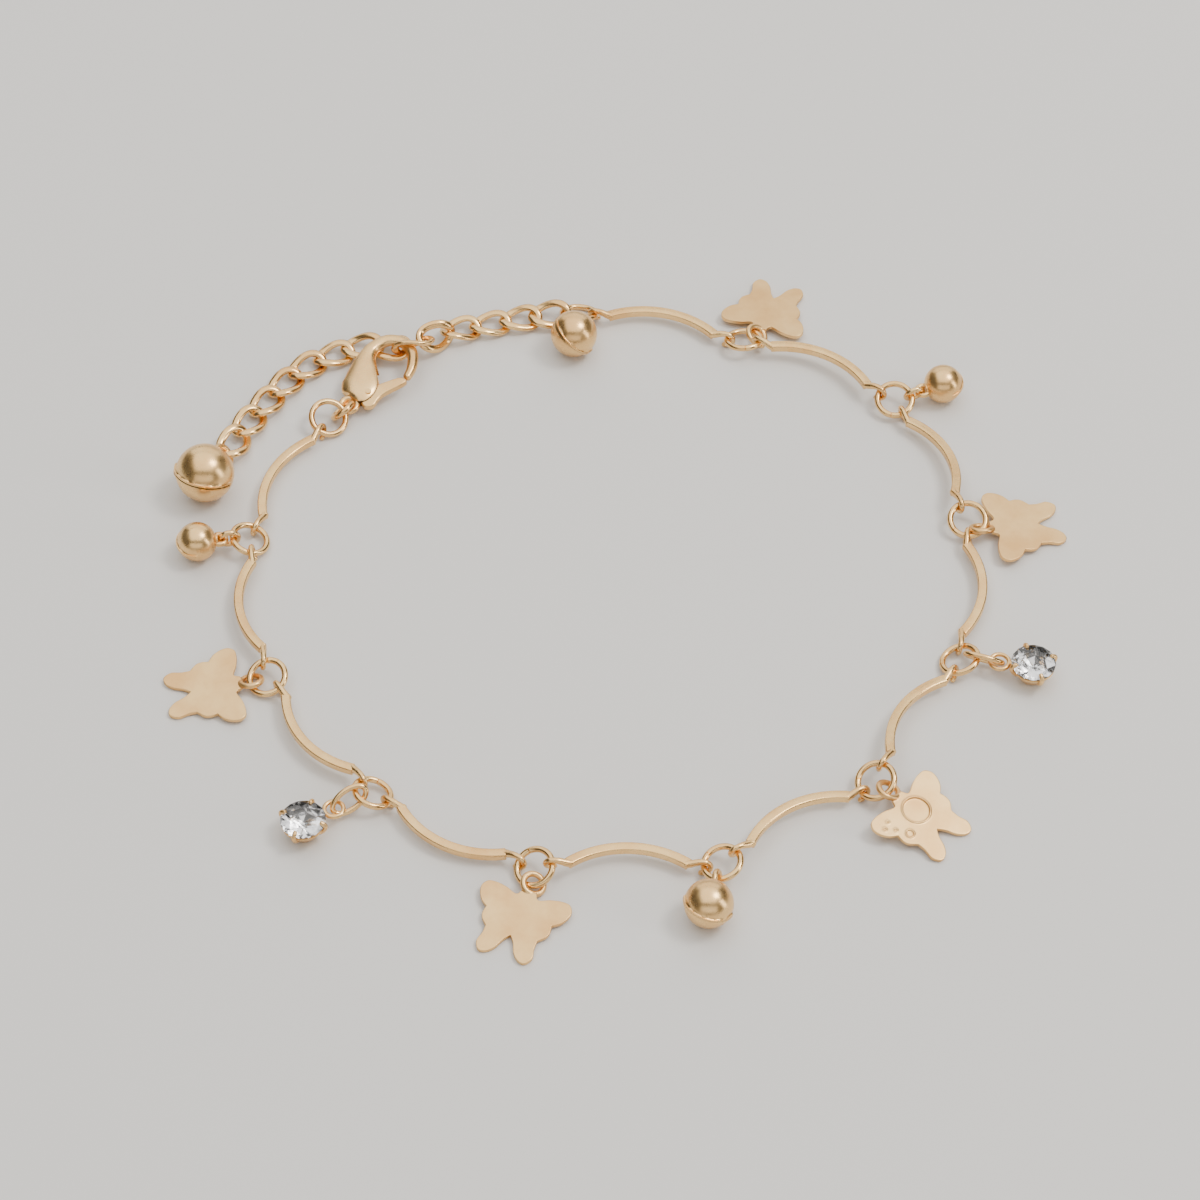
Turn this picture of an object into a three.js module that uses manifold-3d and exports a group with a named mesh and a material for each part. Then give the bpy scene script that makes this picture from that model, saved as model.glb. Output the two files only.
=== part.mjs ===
// A charm anklet of curved metal bars, laid down closed on a flat surface.
// Bars and jump rings make the band, charms hang from the rings, and a lobster clasp
// closes on one link of an extender chain that ends in a larger bell.
// Millimetres, +Z up, surface at Z = 0, origin at the middle of the lying outline.
import * as THREE from 'three';
import { mergeVertices } from 'three/addons/utils/BufferGeometryUtils.js';
import Module from 'manifold-3d';

const wasm = await Module();
wasm.setup();

// ---- Driving dimensions ----
const WIRE = 0.5;                  // round wire of rings, links and curls
const EYE_WIRE = 0.45;             // round wire of the charms' eyes
const LIFT = 0.02;                 // pieces stand this clear of the surface
const SLACK = 0.06;                // play between two pieces that pull on each other
const RING_RADIUS = 1.8;           // jump ring, to the middle of its wire
const BAR_REACH = 14.3;            // curl centre to curl centre of one bar
const BAR_CHORD = 11.5;            // length of the thick part, end to end
const BAR_SAGITTA = 1.85;          // how far a bar bows
const BAR_WIDTH = 0.95;
const BAR_HEIGHT = 0.85;
const BAR_RISE = 0.2;              // bar's centre above its curls' centres
const BAR_CHAMFER = 0.18;
const CURL_RADIUS = 0.65;          // curl round the ring wire, to the middle of the wire
const CURL_DROP = CURL_RADIUS + WIRE / 2;
const LINK_HALF_LENGTH = 2.0;      // extender link, to the middle of its wire
const LINK_HALF_WIDTH = 1.25;
const LINK_TWIST = 0.46;           // how far a curb link's sides rise and fall
const OVAL_HALF_LENGTH = 1.85;     // flat oval link that carries a crystal
const OVAL_HALF_WIDTH = 0.95;
const BELL_LINK_RADIUS = 0.92;     // small round link that carries a bell
const PLATE = 0.4;                 // thickness of a stamped butterfly
const BUTTERFLY_EYE_RADIUS = 1.03;
const BUTTERFLY_INSET = 0.15;      // eye's centre inside the ring's wire
const BUTTERFLY_LENGTH = 8.4;      // eye centre to the tips of the lower wings
const RECESS_RADIUS = 1.35;
const RECESS_DEPTH = 0.12;
const STONE_RADIUS = 1.95;
const STONE_SEAT = 0.1;            // stone's point above the cup's floor
const CUP_BASE_RADIUS = 1.15;
const CUP_HEIGHT = 1.75;
const CUP_FLOOR = 0.35;
const CUP_EYE_RADIUS = 0.92;
const CUP_EYE_REACH = 3.3;         // stone's centre to the middle of the eye
const CUP_EYE_HEIGHT = 1.45;

// ---- The band: one row for each jump ring, from the clasp round to the chain ----
// heading and bow describe the bar that leaves the ring: its direction, and whether it
// bows to the left (+1, into the loop) or to the right (-1). lean is how far the ring
// tips from level, dip the direction that its low side faces. Angles in degrees.
const STATIONS = [
  { heading: -113.6, bow: -1, lean: 28, dip: -56 },
  { heading: -81.3, bow: -1, lean: 20, dip: 0 },
  { heading: -52.4, bow: -1, lean: 19, dip: -129 },
  { heading: -28.1, bow: -1, lean: 22, dip: 26 },
  { heading: 1.9, bow: 1, lean: 26, dip: -142 },
  { heading: 32.1, bow: 1, lean: 16, dip: -172 },
  { heading: 58.8, bow: 1, lean: 24, dip: -145 },
  { heading: 84.2, bow: -1, lean: 20, dip: 162 },
  { heading: 111.5, bow: -1, lean: 18, dip: -90 },
  { heading: 149.9, bow: -1, lean: 18, dip: -90 },
  { heading: 167, bow: -1, lean: 17, dip: 100 },
  { heading: 187, bow: 0, lean: 25, dip: 83 },
];
const FIRST_RING = { x: -28.6, y: 24.65 };

// What hangs on each ring. azimuth: where round the ring; heading: the way it points.
// twist: how far a butterfly's eye is turned from its plate; faceUp: its recesses show.
// Turning the eye lets the plate lie flat although the ring's wire passes through it.
const BUTTERFLIES = [
  { ring: 3, azimuth: 190, heading: -168.6, twist: 25, faceUp: false },
  { ring: 5, azimuth: -100, heading: -110.4, twist: 25, faceUp: false },
  { ring: 7, azimuth: -45, heading: -40.8, twist: 25, faceUp: true },
  { ring: 9, azimuth: -38, heading: 10.9, twist: 34, faceUp: false },
  { ring: 11, azimuth: 34, heading: 70.7, twist: 32, faceUp: false },
];

// reach: bell centre to the far side of its eye, to the middle of the eye's wire; slot: the
// turn of its slot about its own length.
const BELLS = [
  { ring: 2, radius: 2.0, eye: 0.65, reach: 2.9, azimuth: 191, linked: true, slot: 90 },
  { ring: 6, radius: 2.35, eye: 0.95, reach: 4.45, azimuth: -105, linked: false, slot: 25 },
  { ring: 10, radius: 2.0, eye: 0.65, reach: 2.9, azimuth: 19, linked: true, slot: 90 },
  { ring: 12, radius: 2.45, eye: 0.72, reach: 3.4, azimuth: -97, linked: false, slot: 40 },
];
const END_BELL = { radius: 3.0, eye: 1.1, reach: 5.3, heading: 247, roll: 45, slot: 45 };

// roll: how far the oval link is turned about its own length; span: from the ring's wire
// to the setting's eye; spin: the turn of the prongs about the stone.
const CRYSTALS = [
  { ring: 4, azimuth: 205, heading: 212, roll: 45, span: 1.65, spin: -7 },
  { ring: 8, azimuth: -6, heading: -12, roll: 60, span: 1.3, spin: -16 },
];

// ---- The extender chain: one row a link, from the last ring to the end bell ----
// step and heading lead from the link before; rise is the link's height above the
// surface, roll its turn about its own length. The hook passes through the sixth link.
const CHAIN = [
  { step: 1.35, heading: 187, rise: 1.11, roll: 14 },
  { step: 3.15, heading: 185.9, rise: 0.86, roll: 3 },
  { step: 3.26, heading: 192.2, rise: 0.76, roll: 0 },
  { step: 3.21, heading: 197.3, rise: 0.98, roll: 0 },
  { step: 3.14, heading: 213.3, rise: 1.68, roll: 50 },
  { step: 2.82, heading: 213.4, rise: 2.15, roll: -53 },
  { step: 2.39, heading: 173.4, rise: 1.19, roll: 0 },
  { step: 3.09, heading: 170.6, rise: 0.90, roll: 7 },
  { step: 3.17, heading: 198.4, rise: 0.72, roll: -1 },
  { step: 3.18, heading: 211.3, rise: 0.70, roll: 2 },
  { step: 3.24, heading: 228.3, rise: 0.70, roll: 0 },
  { step: 3.28, heading: 236.3, rise: 0.77, roll: 0 },
  { step: 3.26, heading: 240.2, rise: 0.86, roll: 6 },
  { step: 3.31, heading: 245.7, rise: 1.12, roll: 17 },
];

// ---- The lobster clasp, in its own plane: x from the tail hole to the far end of the
// hook, y positive on the closed side, negative on the lever's side ----
const CLASP_AT = { x: -26.57, y: 26.7, z: 1.05 };
const CLASP_HEADING = 55;
const CLASP_PITCH = 8;             // the hook end lies on the chain
const CLASP_THICKNESS = 1.7;
const CLASP_CHAMFER = 0.3;
const TAIL_EYE = 0.85;
const HOOK_WIRE = 1.0;
const PIVOT = { x: 2.1, y: -1.05 };
const PIN_RADIUS = 0.3;
const SLOT_WIDTH = 0.9;
const LEVER_THICKNESS = 0.7;
const CLASP_RING = { x: -27.2, y: 25.8, lean: 50, dip: 145, radius: 1.2, rise: 1.2 };
const CLASP_OUTLINE = [
  { at: 'tail, right', x: 0.55, y: -0.5 },
  { at: 'heel', x: 0.95, y: -1.5 },
  { at: 'lever barrel', x: 1.6, y: -2.05 },
  { at: 'barrel top', x: 2.7, y: -1.95 },
  { at: 'throat', x: 4.0, y: -0.75 },
  { at: 'inner edge', x: 5.3, y: 0.75 },
  { at: 'hook root, inner', x: 6.7, y: 1.65 },
  { at: 'hook root, outer', x: 7.2, y: 2.75 },
  { at: 'shoulder', x: 5.4, y: 3.1 },
  { at: 'back', x: 3.4, y: 2.8 },
  { at: 'flank', x: 1.6, y: 1.8 },
  { at: 'tail, left', x: 0.5, y: 0.7 },
];
const HOOK_LINE = [
  { at: 'in the body', x: 5.9, y: 2.3 },
  { at: 'root', x: 7.3, y: 2.25 },
  { at: 'left of the end', x: 8.8, y: 1.5 },
  { at: 'far end', x: 9.5, y: -0.05 },
  { at: 'right of the end', x: 8.9, y: -1.65 },
  { at: 'coming back', x: 7.4, y: -2.75 },
  { at: 'tip', x: 5.75, y: -3.15 },
];
const SLOT_OUTLINE = [
  { at: 'heel, outside', x: 0.35, y: -3 },
  { at: 'heel, inside', x: 0.35, y: -0.85 },
  { at: 'root', x: 1.3, y: -0.1 },
  { at: 'throat, inside', x: 4.8, y: -0.1 },
  { at: 'throat, outside', x: 4.8, y: -3 },
];
const LEVER_OUTLINE = [
  { at: 'tip, inside', x: 5.4, y: -2.55 },
  { at: 'arm, inside', x: 3.6, y: -1.2 },
  { at: 'root, inside', x: 2.5, y: -0.45 },
  { at: 'root, back', x: 1.6, y: -0.5 },
  { at: 'thumb tab, inside', x: 0.75, y: -1.1 },
  { at: 'thumb tab, end', x: 0.55, y: -1.75 },
  { at: 'thumb tab, outside', x: 1.15, y: -2.35 },
  { at: 'arm, outside', x: 2.7, y: -2.35 },
  { at: 'tip, outside', x: 5.2, y: -3.45 },
];

// ---- Butterfly half-outline, from its neck round to the notch between its lower wings:
// x across, y away from the wings' far end, measured from the eye's centre ----
const HALF_BUTTERFLY = {
  upper_wing: [
    { at: 'neck', x: 0.7, y: -0.95 },
    { at: 'under the eye', x: 1.1, y: -1.6 },
    { at: 'front edge', x: 2.2, y: -1.2 },
    { at: 'front edge', x: 3.3, y: -1.0 },
    { at: 'tip', x: 4.1, y: -1.12 },
    { at: 'tip', x: 4.52, y: -1.75 },
    { at: 'outer edge', x: 4.4, y: -2.55 },
    { at: 'outer edge', x: 3.95, y: -3.3 },
    { at: 'first notch', x: 3.28, y: -3.8 },
  ],
  scallop: [
    { at: 'first notch', x: 3.28, y: -3.8 },
    { at: 'crest', x: 3.38, y: -4.5 },
    { at: 'crest', x: 3.22, y: -5.1 },
    { at: 'second notch', x: 2.6, y: -5.75 },
  ],
  lower_wing: [
    { at: 'second notch', x: 2.6, y: -5.75 },
    { at: 'outer edge', x: 2.6, y: -6.6 },
    { at: 'outer edge', x: 2.8, y: -7.6 },
    { at: 'tip', x: 2.35, y: -8.4 },
    { at: 'tip', x: 1.6, y: -8.35 },
    { at: 'inner edge', x: 0.95, y: -7.7 },
    { at: 'inner edge', x: 0.5, y: -6.7 },
    { at: 'middle notch', x: 0.0, y: -6.0 },
  ],
};

// ---- Finishes ----
const gold = { color: 0xdcbf97, metalness: 1.0 };
const FINISH = {
  bar: new THREE.MeshStandardMaterial({ ...gold, roughness: 0.3 }),
  wire: new THREE.MeshStandardMaterial({ ...gold, roughness: 0.25 }),
  plate: new THREE.MeshStandardMaterial({ ...gold, roughness: 0.45 }),
  polished: new THREE.MeshStandardMaterial({ ...gold, roughness: 0.15 }),
  stone: new THREE.MeshStandardMaterial({ color: 0xf4f6f8, metalness: 0, roughness: 0.05 }),
};

// ---- Small helpers ----
const rad = THREE.MathUtils.degToRad;
const UP = new THREE.Vector3(0, 0, 1);
const anklet = new THREE.Group();

function compass(degrees) {
  return new THREE.Vector3(Math.cos(rad(degrees)), Math.sin(rad(degrees)), 0);
}

function twoDigits(number) {
  return String(number).padStart(2, '0');
}

// A closed geometry as a solid, for joining and cutting.
function solid(geometry) {
  const bare = geometry.clone();
  bare.deleteAttribute('normal');
  bare.deleteAttribute('uv');
  const merged = mergeVertices(bare, 1e-4);
  return new wasm.Manifold(new wasm.Mesh({
    numProp: 3,
    vertProperties: merged.attributes.position.array,
    triVerts: Uint32Array.from(merged.index.array),
  }));
}

function geometryOf(body) {
  const mesh = body.getMesh();
  const geometry = new THREE.BufferGeometry();
  geometry.setAttribute('position', new THREE.BufferAttribute(mesh.vertProperties, 3));
  geometry.setIndex(new THREE.BufferAttribute(mesh.triVerts, 1));
  return geometry;
}

function join(...geometries) {
  return geometries.map(solid).reduce((sum, next) => sum.add(next));
}

// Puts a copy of a shape in the anklet: its X along forward, its Z as near up as it can.
function place(name, geometry, finish, at, forward, up) {
  const x = forward.clone().normalize();
  const z = up.clone().addScaledVector(x, -up.dot(x)).normalize();
  const y = new THREE.Vector3().crossVectors(z, x);
  const mesh = new THREE.Mesh(geometry, FINISH[finish].clone());
  mesh.name = name;
  mesh.position.copy(at);
  mesh.quaternion.setFromRotationMatrix(new THREE.Matrix4().makeBasis(x, y, z));
  anklet.add(mesh);
  return mesh;
}

function circle(radius, sides) {
  const shape = new THREE.Shape();
  const corners = Array.from({ length: sides }, (_, i) => {
    const angle = (i + 0.5) * 2 * Math.PI / sides;
    return new THREE.Vector2(Math.cos(angle), Math.sin(angle)).multiplyScalar(radius);
  });
  return shape.setFromPoints(corners);
}

// Straight up, turned about a line by an angle: positive lifts the line's left side.
function rolled(along, degrees) {
  const left = new THREE.Vector3().crossVectors(UP, along).normalize();
  return UP.clone().multiplyScalar(Math.cos(rad(degrees)))
    .addScaledVector(left, Math.sin(rad(degrees)));
}

// A wire along an open curve.
function wire(curve, thickness, steps, sides = 6) {
  const options = { extrudePath: curve, steps, bevelEnabled: false };
  return new THREE.ExtrudeGeometry(circle(thickness / 2, sides), options);
}

function ring(radius, thickness, steps = 14) {
  return new THREE.TorusGeometry(radius, thickness / 2, 5, steps);
}

// ---- Jump rings ----
// A ring that leans: its plane's normal, and any point of its wire by compass direction.
class LeaningRing {
  constructor(lean, dip, radius) {
    this.normal = UP.clone().multiplyScalar(Math.cos(rad(lean)));
    this.normal.addScaledVector(compass(dip), Math.sin(rad(lean)));
    this.radius = radius;
    this.centre = new THREE.Vector3();
  }

  // From the centre to the wire, on the side that faces the compass direction.
  arm(azimuth) {
    const flat = compass(azimuth);
    const inPlane = flat.addScaledVector(this.normal, -flat.dot(this.normal));
    return inPlane.normalize().multiplyScalar(this.radius);
  }

  at(azimuth) {
    return this.arm(azimuth).add(this.centre);
  }

  // The way the wire runs at that point.
  along(azimuth) {
    return new THREE.Vector3().crossVectors(this.normal, this.arm(azimuth)).normalize();
  }
}

// Height of the ring's centre that leaves its wire, and whatever hangs on it, just clear
// of the surface. Each load is a compass direction and a drop below the wire there.
function restingHeight(link, loads) {
  const tipped = Math.sqrt(1 - link.normal.z ** 2);
  const lowest = link.radius * tipped + WIRE / 2;
  const drops = loads.map(([azimuth, drop]) => drop - link.arm(azimuth).z);
  return Math.max(lowest, ...drops) + LIFT;
}

// ---- Bars ----
class BowedLine extends THREE.Curve {
  constructor(side) {
    super();
    this.radius = (BAR_CHORD ** 2 / 4 + BAR_SAGITTA ** 2) / (2 * BAR_SAGITTA);
    this.halfAngle = Math.asin(BAR_CHORD / 2 / this.radius);
    this.side = side;
  }

  getPoint(t, target = new THREE.Vector3()) {
    const angle = (2 * t - 1) * this.halfAngle;
    const bow = this.radius * (Math.cos(angle) - Math.cos(this.halfAngle));
    return target.set(this.radius * Math.sin(angle), this.side * bow, BAR_RISE);
  }
}

function barSection() {
  const z = BAR_HEIGHT / 2;
  const y = BAR_WIDTH / 2;
  const c = BAR_CHAMFER;
  const corners = [[z, y - c], [z - c, y], [c - z, y], [-z, y - c],
    [-z, c - y], [c - z, -y], [z - c, -y], [z, c - y]];
  return new THREE.Shape(corners.map(([a, b]) => new THREE.Vector2(a, b)));
}

// The tongue runs out from the bar's end, over the ring's wire, and curls back below it.
function curl(end) {
  const centre = end * BAR_REACH / 2;
  const turn = [90, 45, 0, -45].map((degrees) => new THREE.Vector3(
    centre + end * CURL_RADIUS * Math.cos(rad(degrees)),
    0,
    CURL_RADIUS * Math.sin(rad(degrees)),
  ));
  const start = new THREE.Vector3(end * (BAR_CHORD / 2 - 0.45), 0, BAR_RISE);
  const shoulder = new THREE.Vector3(end * (BAR_CHORD / 2 + 0.45), 0, 0.45);
  const tip = new THREE.Vector3(end * (BAR_CHORD / 2 + 1.0), 0, -0.62);
  const path = new THREE.CatmullRomCurve3([start, shoulder, ...turn, tip]);
  return wire(path, WIRE, 6, 5);
}

function bar(side) {
  const options = { extrudePath: new BowedLine(side), steps: 5, bevelEnabled: false };
  const body = new THREE.ExtrudeGeometry(barSection(), options);
  return geometryOf(join(body, curl(1), curl(-1)));
}

// ---- Links ----
// A ring of wire bent to an oval; twist raises one side of each half and lowers the other,
// so that equal links thread each other while they all lie level.
function oval(halfLength, halfWidth, twist, thickness) {
  const geometry = new THREE.TorusGeometry(1, thickness / 2, 5, 12);
  const position = geometry.attributes.position;
  const vertex = new THREE.Vector3();
  const centreLine = (t) => new THREE.Vector3(
    halfLength * Math.cos(t),
    halfWidth * Math.sin(t),
    twist * Math.sin(2 * t),
  );
  for (let i = 0; i < position.count; i += 1) {
    vertex.fromBufferAttribute(position, i);
    const t = Math.atan2(vertex.y, vertex.x);
    const outward = Math.hypot(vertex.x, vertex.y) - 1;
    const tangent = centreLine(t + 0.01).sub(centreLine(t - 0.01)).normalize();
    const side = new THREE.Vector3().crossVectors(tangent, UP).normalize();
    const lift = new THREE.Vector3().crossVectors(side, tangent);
    const moved = centreLine(t).addScaledVector(side, outward).addScaledVector(lift, vertex.z);
    position.setXYZ(i, moved.x, moved.y, moved.z);
  }
  return geometry;
}

// ---- Butterfly ----
function butterflyOutline() {
  const half = Object.values(HALF_BUTTERFLY).flatMap((rows) => {
    const curve = new THREE.SplineCurve(rows.map(({ x, y }) => new THREE.Vector2(x, y)));
    return curve.getPoints(rows.length - 2).slice(0, -1);
  });
  const { x, y } = HALF_BUTTERFLY.lower_wing.at(-1);
  const notch = new THREE.Vector2(x, y);
  const mirrored = half.map((point) => new THREE.Vector2(-point.x, point.y)).reverse();
  return new THREE.Shape([...half, notch, ...mirrored]);
}

// The eye's centre is the origin, the wings point along +X, and the face looks along +Z.
function butterfly(twist) {
  const depth = PLATE;
  const plate = new THREE.ExtrudeGeometry(butterflyOutline(), { depth, bevelEnabled: false });
  plate.translate(0, 0, -PLATE / 2);
  const recess = (radius, x, y) => {
    const cut = new THREE.CylinderGeometry(radius, radius, 2 * RECESS_DEPTH, 10);
    return solid(cut.rotateX(Math.PI / 2).translate(x, y, PLATE / 2));
  };
  const eye = new THREE.TorusGeometry(BUTTERFLY_EYE_RADIUS, EYE_WIRE / 2, 5, 10);
  const opening = BUTTERFLY_EYE_RADIUS - EYE_WIRE / 2;
  const bore = new THREE.CylinderGeometry(opening, opening, 3, 10).rotateX(Math.PI / 2);
  const body = solid(plate)
    .subtract(recess(RECESS_RADIUS, 0, -3.4))
    .subtract(recess(0.4, -2.3, -4.5))
    .subtract(solid(bore.rotateY(rad(twist))))
    .add(solid(eye.rotateY(rad(twist))));
  return geometryOf(body).rotateZ(Math.PI / 2);
}

// ---- Bells ----
// A hollow ball with a slot round its far side and an eye at the near one, +X.
function bell({ radius, eye, reach, slot }) {
  const wall = 0.35;
  const width = radius * 0.16;
  const shell = new THREE.SphereGeometry(radius, 11, 7);
  const cavity = new THREE.SphereGeometry(radius - wall, 6, 4);
  const loop = new THREE.TorusGeometry(eye, EYE_WIRE / 2, 5, 10).translate(0, reach - eye, 0);
  const gap = reach - 2 * eye - radius;
  const stem = new THREE.CylinderGeometry(0.35, 0.6, gap + 0.5, 6);
  stem.translate(0, radius + gap / 2 - 0.15, 0);
  const across = new THREE.BoxGeometry(width, 1.5 * radius, 3 * radius);
  across.translate(0, -0.9 * radius, 0).rotateY(rad(slot));
  const body = solid(shell)
    .add(solid(loop))
    .add(solid(stem))
    .subtract(solid(cavity))
    .subtract(solid(across));
  return geometryOf(body).rotateZ(-Math.PI / 2);
}

// ---- Crystals ----
// A round stone: point of its back at the origin, table up.
function stone() {
  const profile = [[0, 0], [0.97, 0.8], [1, 0.86], [0.97, 0.92], [0.56, 1.2], [0, 1.2]];
  const points = profile.map(([x, z]) => new THREE.Vector2(x * STONE_RADIUS, z * STONE_RADIUS));
  return new THREE.LatheGeometry(points, 10).rotateX(Math.PI / 2);
}

// A cup with four claws and an eye; its flat base is at the origin, its eye along -X.
function setting(spin) {
  const profile = [[0, 0], [CUP_BASE_RADIUS, 0], [2.15, CUP_HEIGHT], [1.84, CUP_HEIGHT],
    [0, CUP_FLOOR]];
  const points = profile.map(([x, z]) => new THREE.Vector2(x, z));
  const cup = new THREE.LatheGeometry(points, 10).rotateX(Math.PI / 2);
  const line = new THREE.CatmullRomCurve3([[1.65, 1.0], [2.2, 1.6], [2.46, 2.3], [2.12, 2.92]]
    .map(([x, z]) => new THREE.Vector3(x, 0, z)));
  const claws = [45, 135, 225, 315].map((degrees) => (
    wire(line, 0.45, 3, 5).rotateZ(rad(degrees + spin))
  ));
  const eye = new THREE.TorusGeometry(CUP_EYE_RADIUS, EYE_WIRE / 2, 5, 10);
  eye.translate(-CUP_EYE_REACH, 0, CUP_EYE_HEIGHT);
  const stemStart = 1.72;
  const stemLength = CUP_EYE_REACH - CUP_EYE_RADIUS - stemStart;
  const stem = new THREE.BoxGeometry(stemLength, 0.5, 0.4);
  stem.translate(-stemStart - stemLength / 2, 0, CUP_EYE_HEIGHT);
  return geometryOf(join(cup, eye, stem, ...claws));
}

// ---- Clasp ----
function outline(rows) {
  return new THREE.Shape(rows.map(({ x, y }) => new THREE.Vector2(x, y)));
}

function slab(shape, thickness, chamfer = 0) {
  const geometry = new THREE.ExtrudeGeometry(shape, {
    depth: thickness - 2 * chamfer,
    bevelEnabled: chamfer > 0,
    bevelThickness: chamfer,
    bevelSize: chamfer,
    bevelOffset: -chamfer,
    bevelSegments: 1,
  });
  return geometry.translate(0, 0, chamfer - thickness / 2);
}

function pin(radius, length) {
  const cylinder = new THREE.CylinderGeometry(radius, radius, length, 10);
  return cylinder.rotateX(Math.PI / 2).translate(PIVOT.x, PIVOT.y, 0);
}

function claspBody() {
  const hookPath = new THREE.CatmullRomCurve3(HOOK_LINE.map(({ x, y }) => (
    new THREE.Vector3(x, y, 0)
  )));
  const tail = ring(TAIL_EYE, WIRE, 11);
  const body = join(
    slab(outline(CLASP_OUTLINE), CLASP_THICKNESS, CLASP_CHAMFER),
    wire(hookPath, HOOK_WIRE, 9, 8),
  );
  const slot = slab(outline(SLOT_OUTLINE), SLOT_WIDTH);
  const bore = new THREE.CylinderGeometry(TAIL_EYE - WIRE / 2, TAIL_EYE - WIRE / 2, 3, 14);
  return geometryOf(body
    .subtract(solid(slot))
    .add(solid(pin(PIN_RADIUS, CLASP_THICKNESS - CLASP_CHAMFER)))
    .add(solid(tail))
    .subtract(solid(bore.rotateX(Math.PI / 2))));
}

function claspLever() {
  const arm = slab(outline(LEVER_OUTLINE), LEVER_THICKNESS);
  const hole = pin(PIN_RADIUS + 0.1, CLASP_THICKNESS);
  return geometryOf(solid(arm).subtract(solid(hole)));
}

// ---- Assembly: the band ----
const smallRing = new THREE.TorusGeometry(BELL_LINK_RADIUS, EYE_WIRE / 2, 5, 10);
const ovalLink = oval(OVAL_HALF_LENGTH, OVAL_HALF_WIDTH, 0, EYE_WIRE);
const curbLink = oval(LINK_HALF_LENGTH, LINK_HALF_WIDTH, LINK_TWIST, WIRE);
const rings = [];
const barShapes = new Map([[1, bar(1)], [-1, bar(-1)]]);
const jumpRing = ring(RING_RADIUS, WIRE, 12);

function loadsOn(index) {
  const loads = [];
  const { heading, bow } = STATIONS[index];
  if (bow) loads.push([heading, CURL_DROP]);
  if (index > 0) loads.push([STATIONS[index - 1].heading + 180, CURL_DROP]);
  BUTTERFLIES.filter((charm) => charm.ring === index + 1).forEach(({ azimuth, twist }) => {
    loads.push([azimuth, BUTTERFLY_EYE_RADIUS * Math.sin(rad(twist)) + EYE_WIRE / 2]);
  });
  return loads;
}

STATIONS.forEach(({ heading, bow, lean, dip }, index) => {
  const link = new LeaningRing(lean, dip, RING_RADIUS);
  link.centre.z = restingHeight(link, loadsOn(index));
  if (index === 0) {
    link.centre.x = FIRST_RING.x;
    link.centre.y = FIRST_RING.y;
  } else {
    const before = STATIONS[index - 1];
    const from = rings[index - 1].at(before.heading);
    const end = link.arm(before.heading + 180);
    const climb = link.centre.z + end.z - from.z;
    const run = Math.sqrt(BAR_REACH ** 2 - climb ** 2);
    const to = from.clone().addScaledVector(compass(before.heading), run);
    to.z += climb;
    link.centre.copy(to).sub(end);
    const middle = from.clone().add(to).multiplyScalar(0.5);
    const along = to.clone().sub(from);
    place(`bar_${twoDigits(index)}`, barShapes.get(before.bow), 'bar', middle, along, UP);
  }
  rings.push(link);
  const name = `jump_ring_${twoDigits(index + 1)}`;
  place(name, jumpRing, 'wire', link.centre, link.arm(heading), link.normal);
});

// ---- Assembly: charms ----
BUTTERFLIES.forEach(({ ring: number, azimuth, heading, twist, faceUp }, index) => {
  const link = rings[number - 1];
  const hole = link.at(azimuth);
  hole.addScaledVector(link.arm(azimuth), -BUTTERFLY_INSET / RING_RADIUS);
  const drop = Math.asin((hole.z - PLATE / 2 - LIFT) / BUTTERFLY_LENGTH);
  const forward = compass(heading).multiplyScalar(Math.cos(drop));
  forward.z = -Math.sin(drop);
  const up = faceUp ? UP : UP.clone().negate();
  const sideways = new THREE.Vector3().crossVectors(up, forward);
  const threading = Math.sign(link.along(azimuth).dot(sideways) * link.along(azimuth).dot(up));
  const shape = butterfly(threading * twist);
  place(`butterfly_${index + 1}`, shape, 'plate', hole, forward, up);
});

let linkedBells = 0;
BELLS.forEach((row, index) => {
  const link = rings[row.ring - 1];
  const wirePoint = link.at(row.azimuth);
  const level = compass(row.azimuth);
  const linkPlay = BELL_LINK_RADIUS - WIRE - SLACK;
  const hung = row.linked ? 2 * linkPlay : 0;
  const hold = (WIRE + EYE_WIRE) / 2 + 2 * SLACK;
  const distance = row.reach + (row.linked ? hung : -hold);
  const climb = row.radius + LIFT - wirePoint.z;
  const forward = level.multiplyScalar(Math.sqrt(distance ** 2 - climb ** 2));
  forward.z = climb;
  const ball = wirePoint.clone().add(forward);
  const wireWay = link.along(row.azimuth);
  if (row.linked) {
    const middle = wirePoint.clone().addScaledVector(forward, linkPlay / distance);
    linkedBells += 1;
    place(`bell_link_${linkedBells}`, smallRing, 'wire', middle, forward, wireWay);
  }
  const up = row.linked ? UP : wireWay;
  place(`bell_${index + 1}`, bell(row), 'polished', ball, forward.negate(), up);
});

CRYSTALS.forEach(({ ring: number, azimuth, heading, roll, span, spin }, index) => {
  const link = rings[number - 1];
  const wirePoint = link.at(azimuth);
  const level = compass(heading);
  const eyeWire = wirePoint.clone();
  const fall = CUP_EYE_HEIGHT - wirePoint.z;
  eyeWire.addScaledVector(level, Math.sqrt(span ** 2 - Math.min(fall ** 2, span ** 2 * 0.9)));
  eyeWire.z = CUP_EYE_HEIGHT;
  const along = eyeWire.clone().sub(wirePoint);
  const middle = wirePoint.clone().add(eyeWire).multiplyScalar(0.5);
  place(`crystal_link_${index + 1}`, ovalLink, 'wire', middle, along, rolled(along, roll));
  const base = eyeWire.clone().addScaledVector(level, CUP_EYE_REACH + CUP_EYE_RADIUS);
  base.z = 0;
  place(`crystal_setting_${index + 1}`, setting(spin), 'polished', base, level, UP);
  const seat = base.clone().addScaledVector(UP, CUP_FLOOR + STONE_SEAT);
  place(`crystal_${index + 1}`, stone(), 'stone', seat, level, UP);
});

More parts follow.
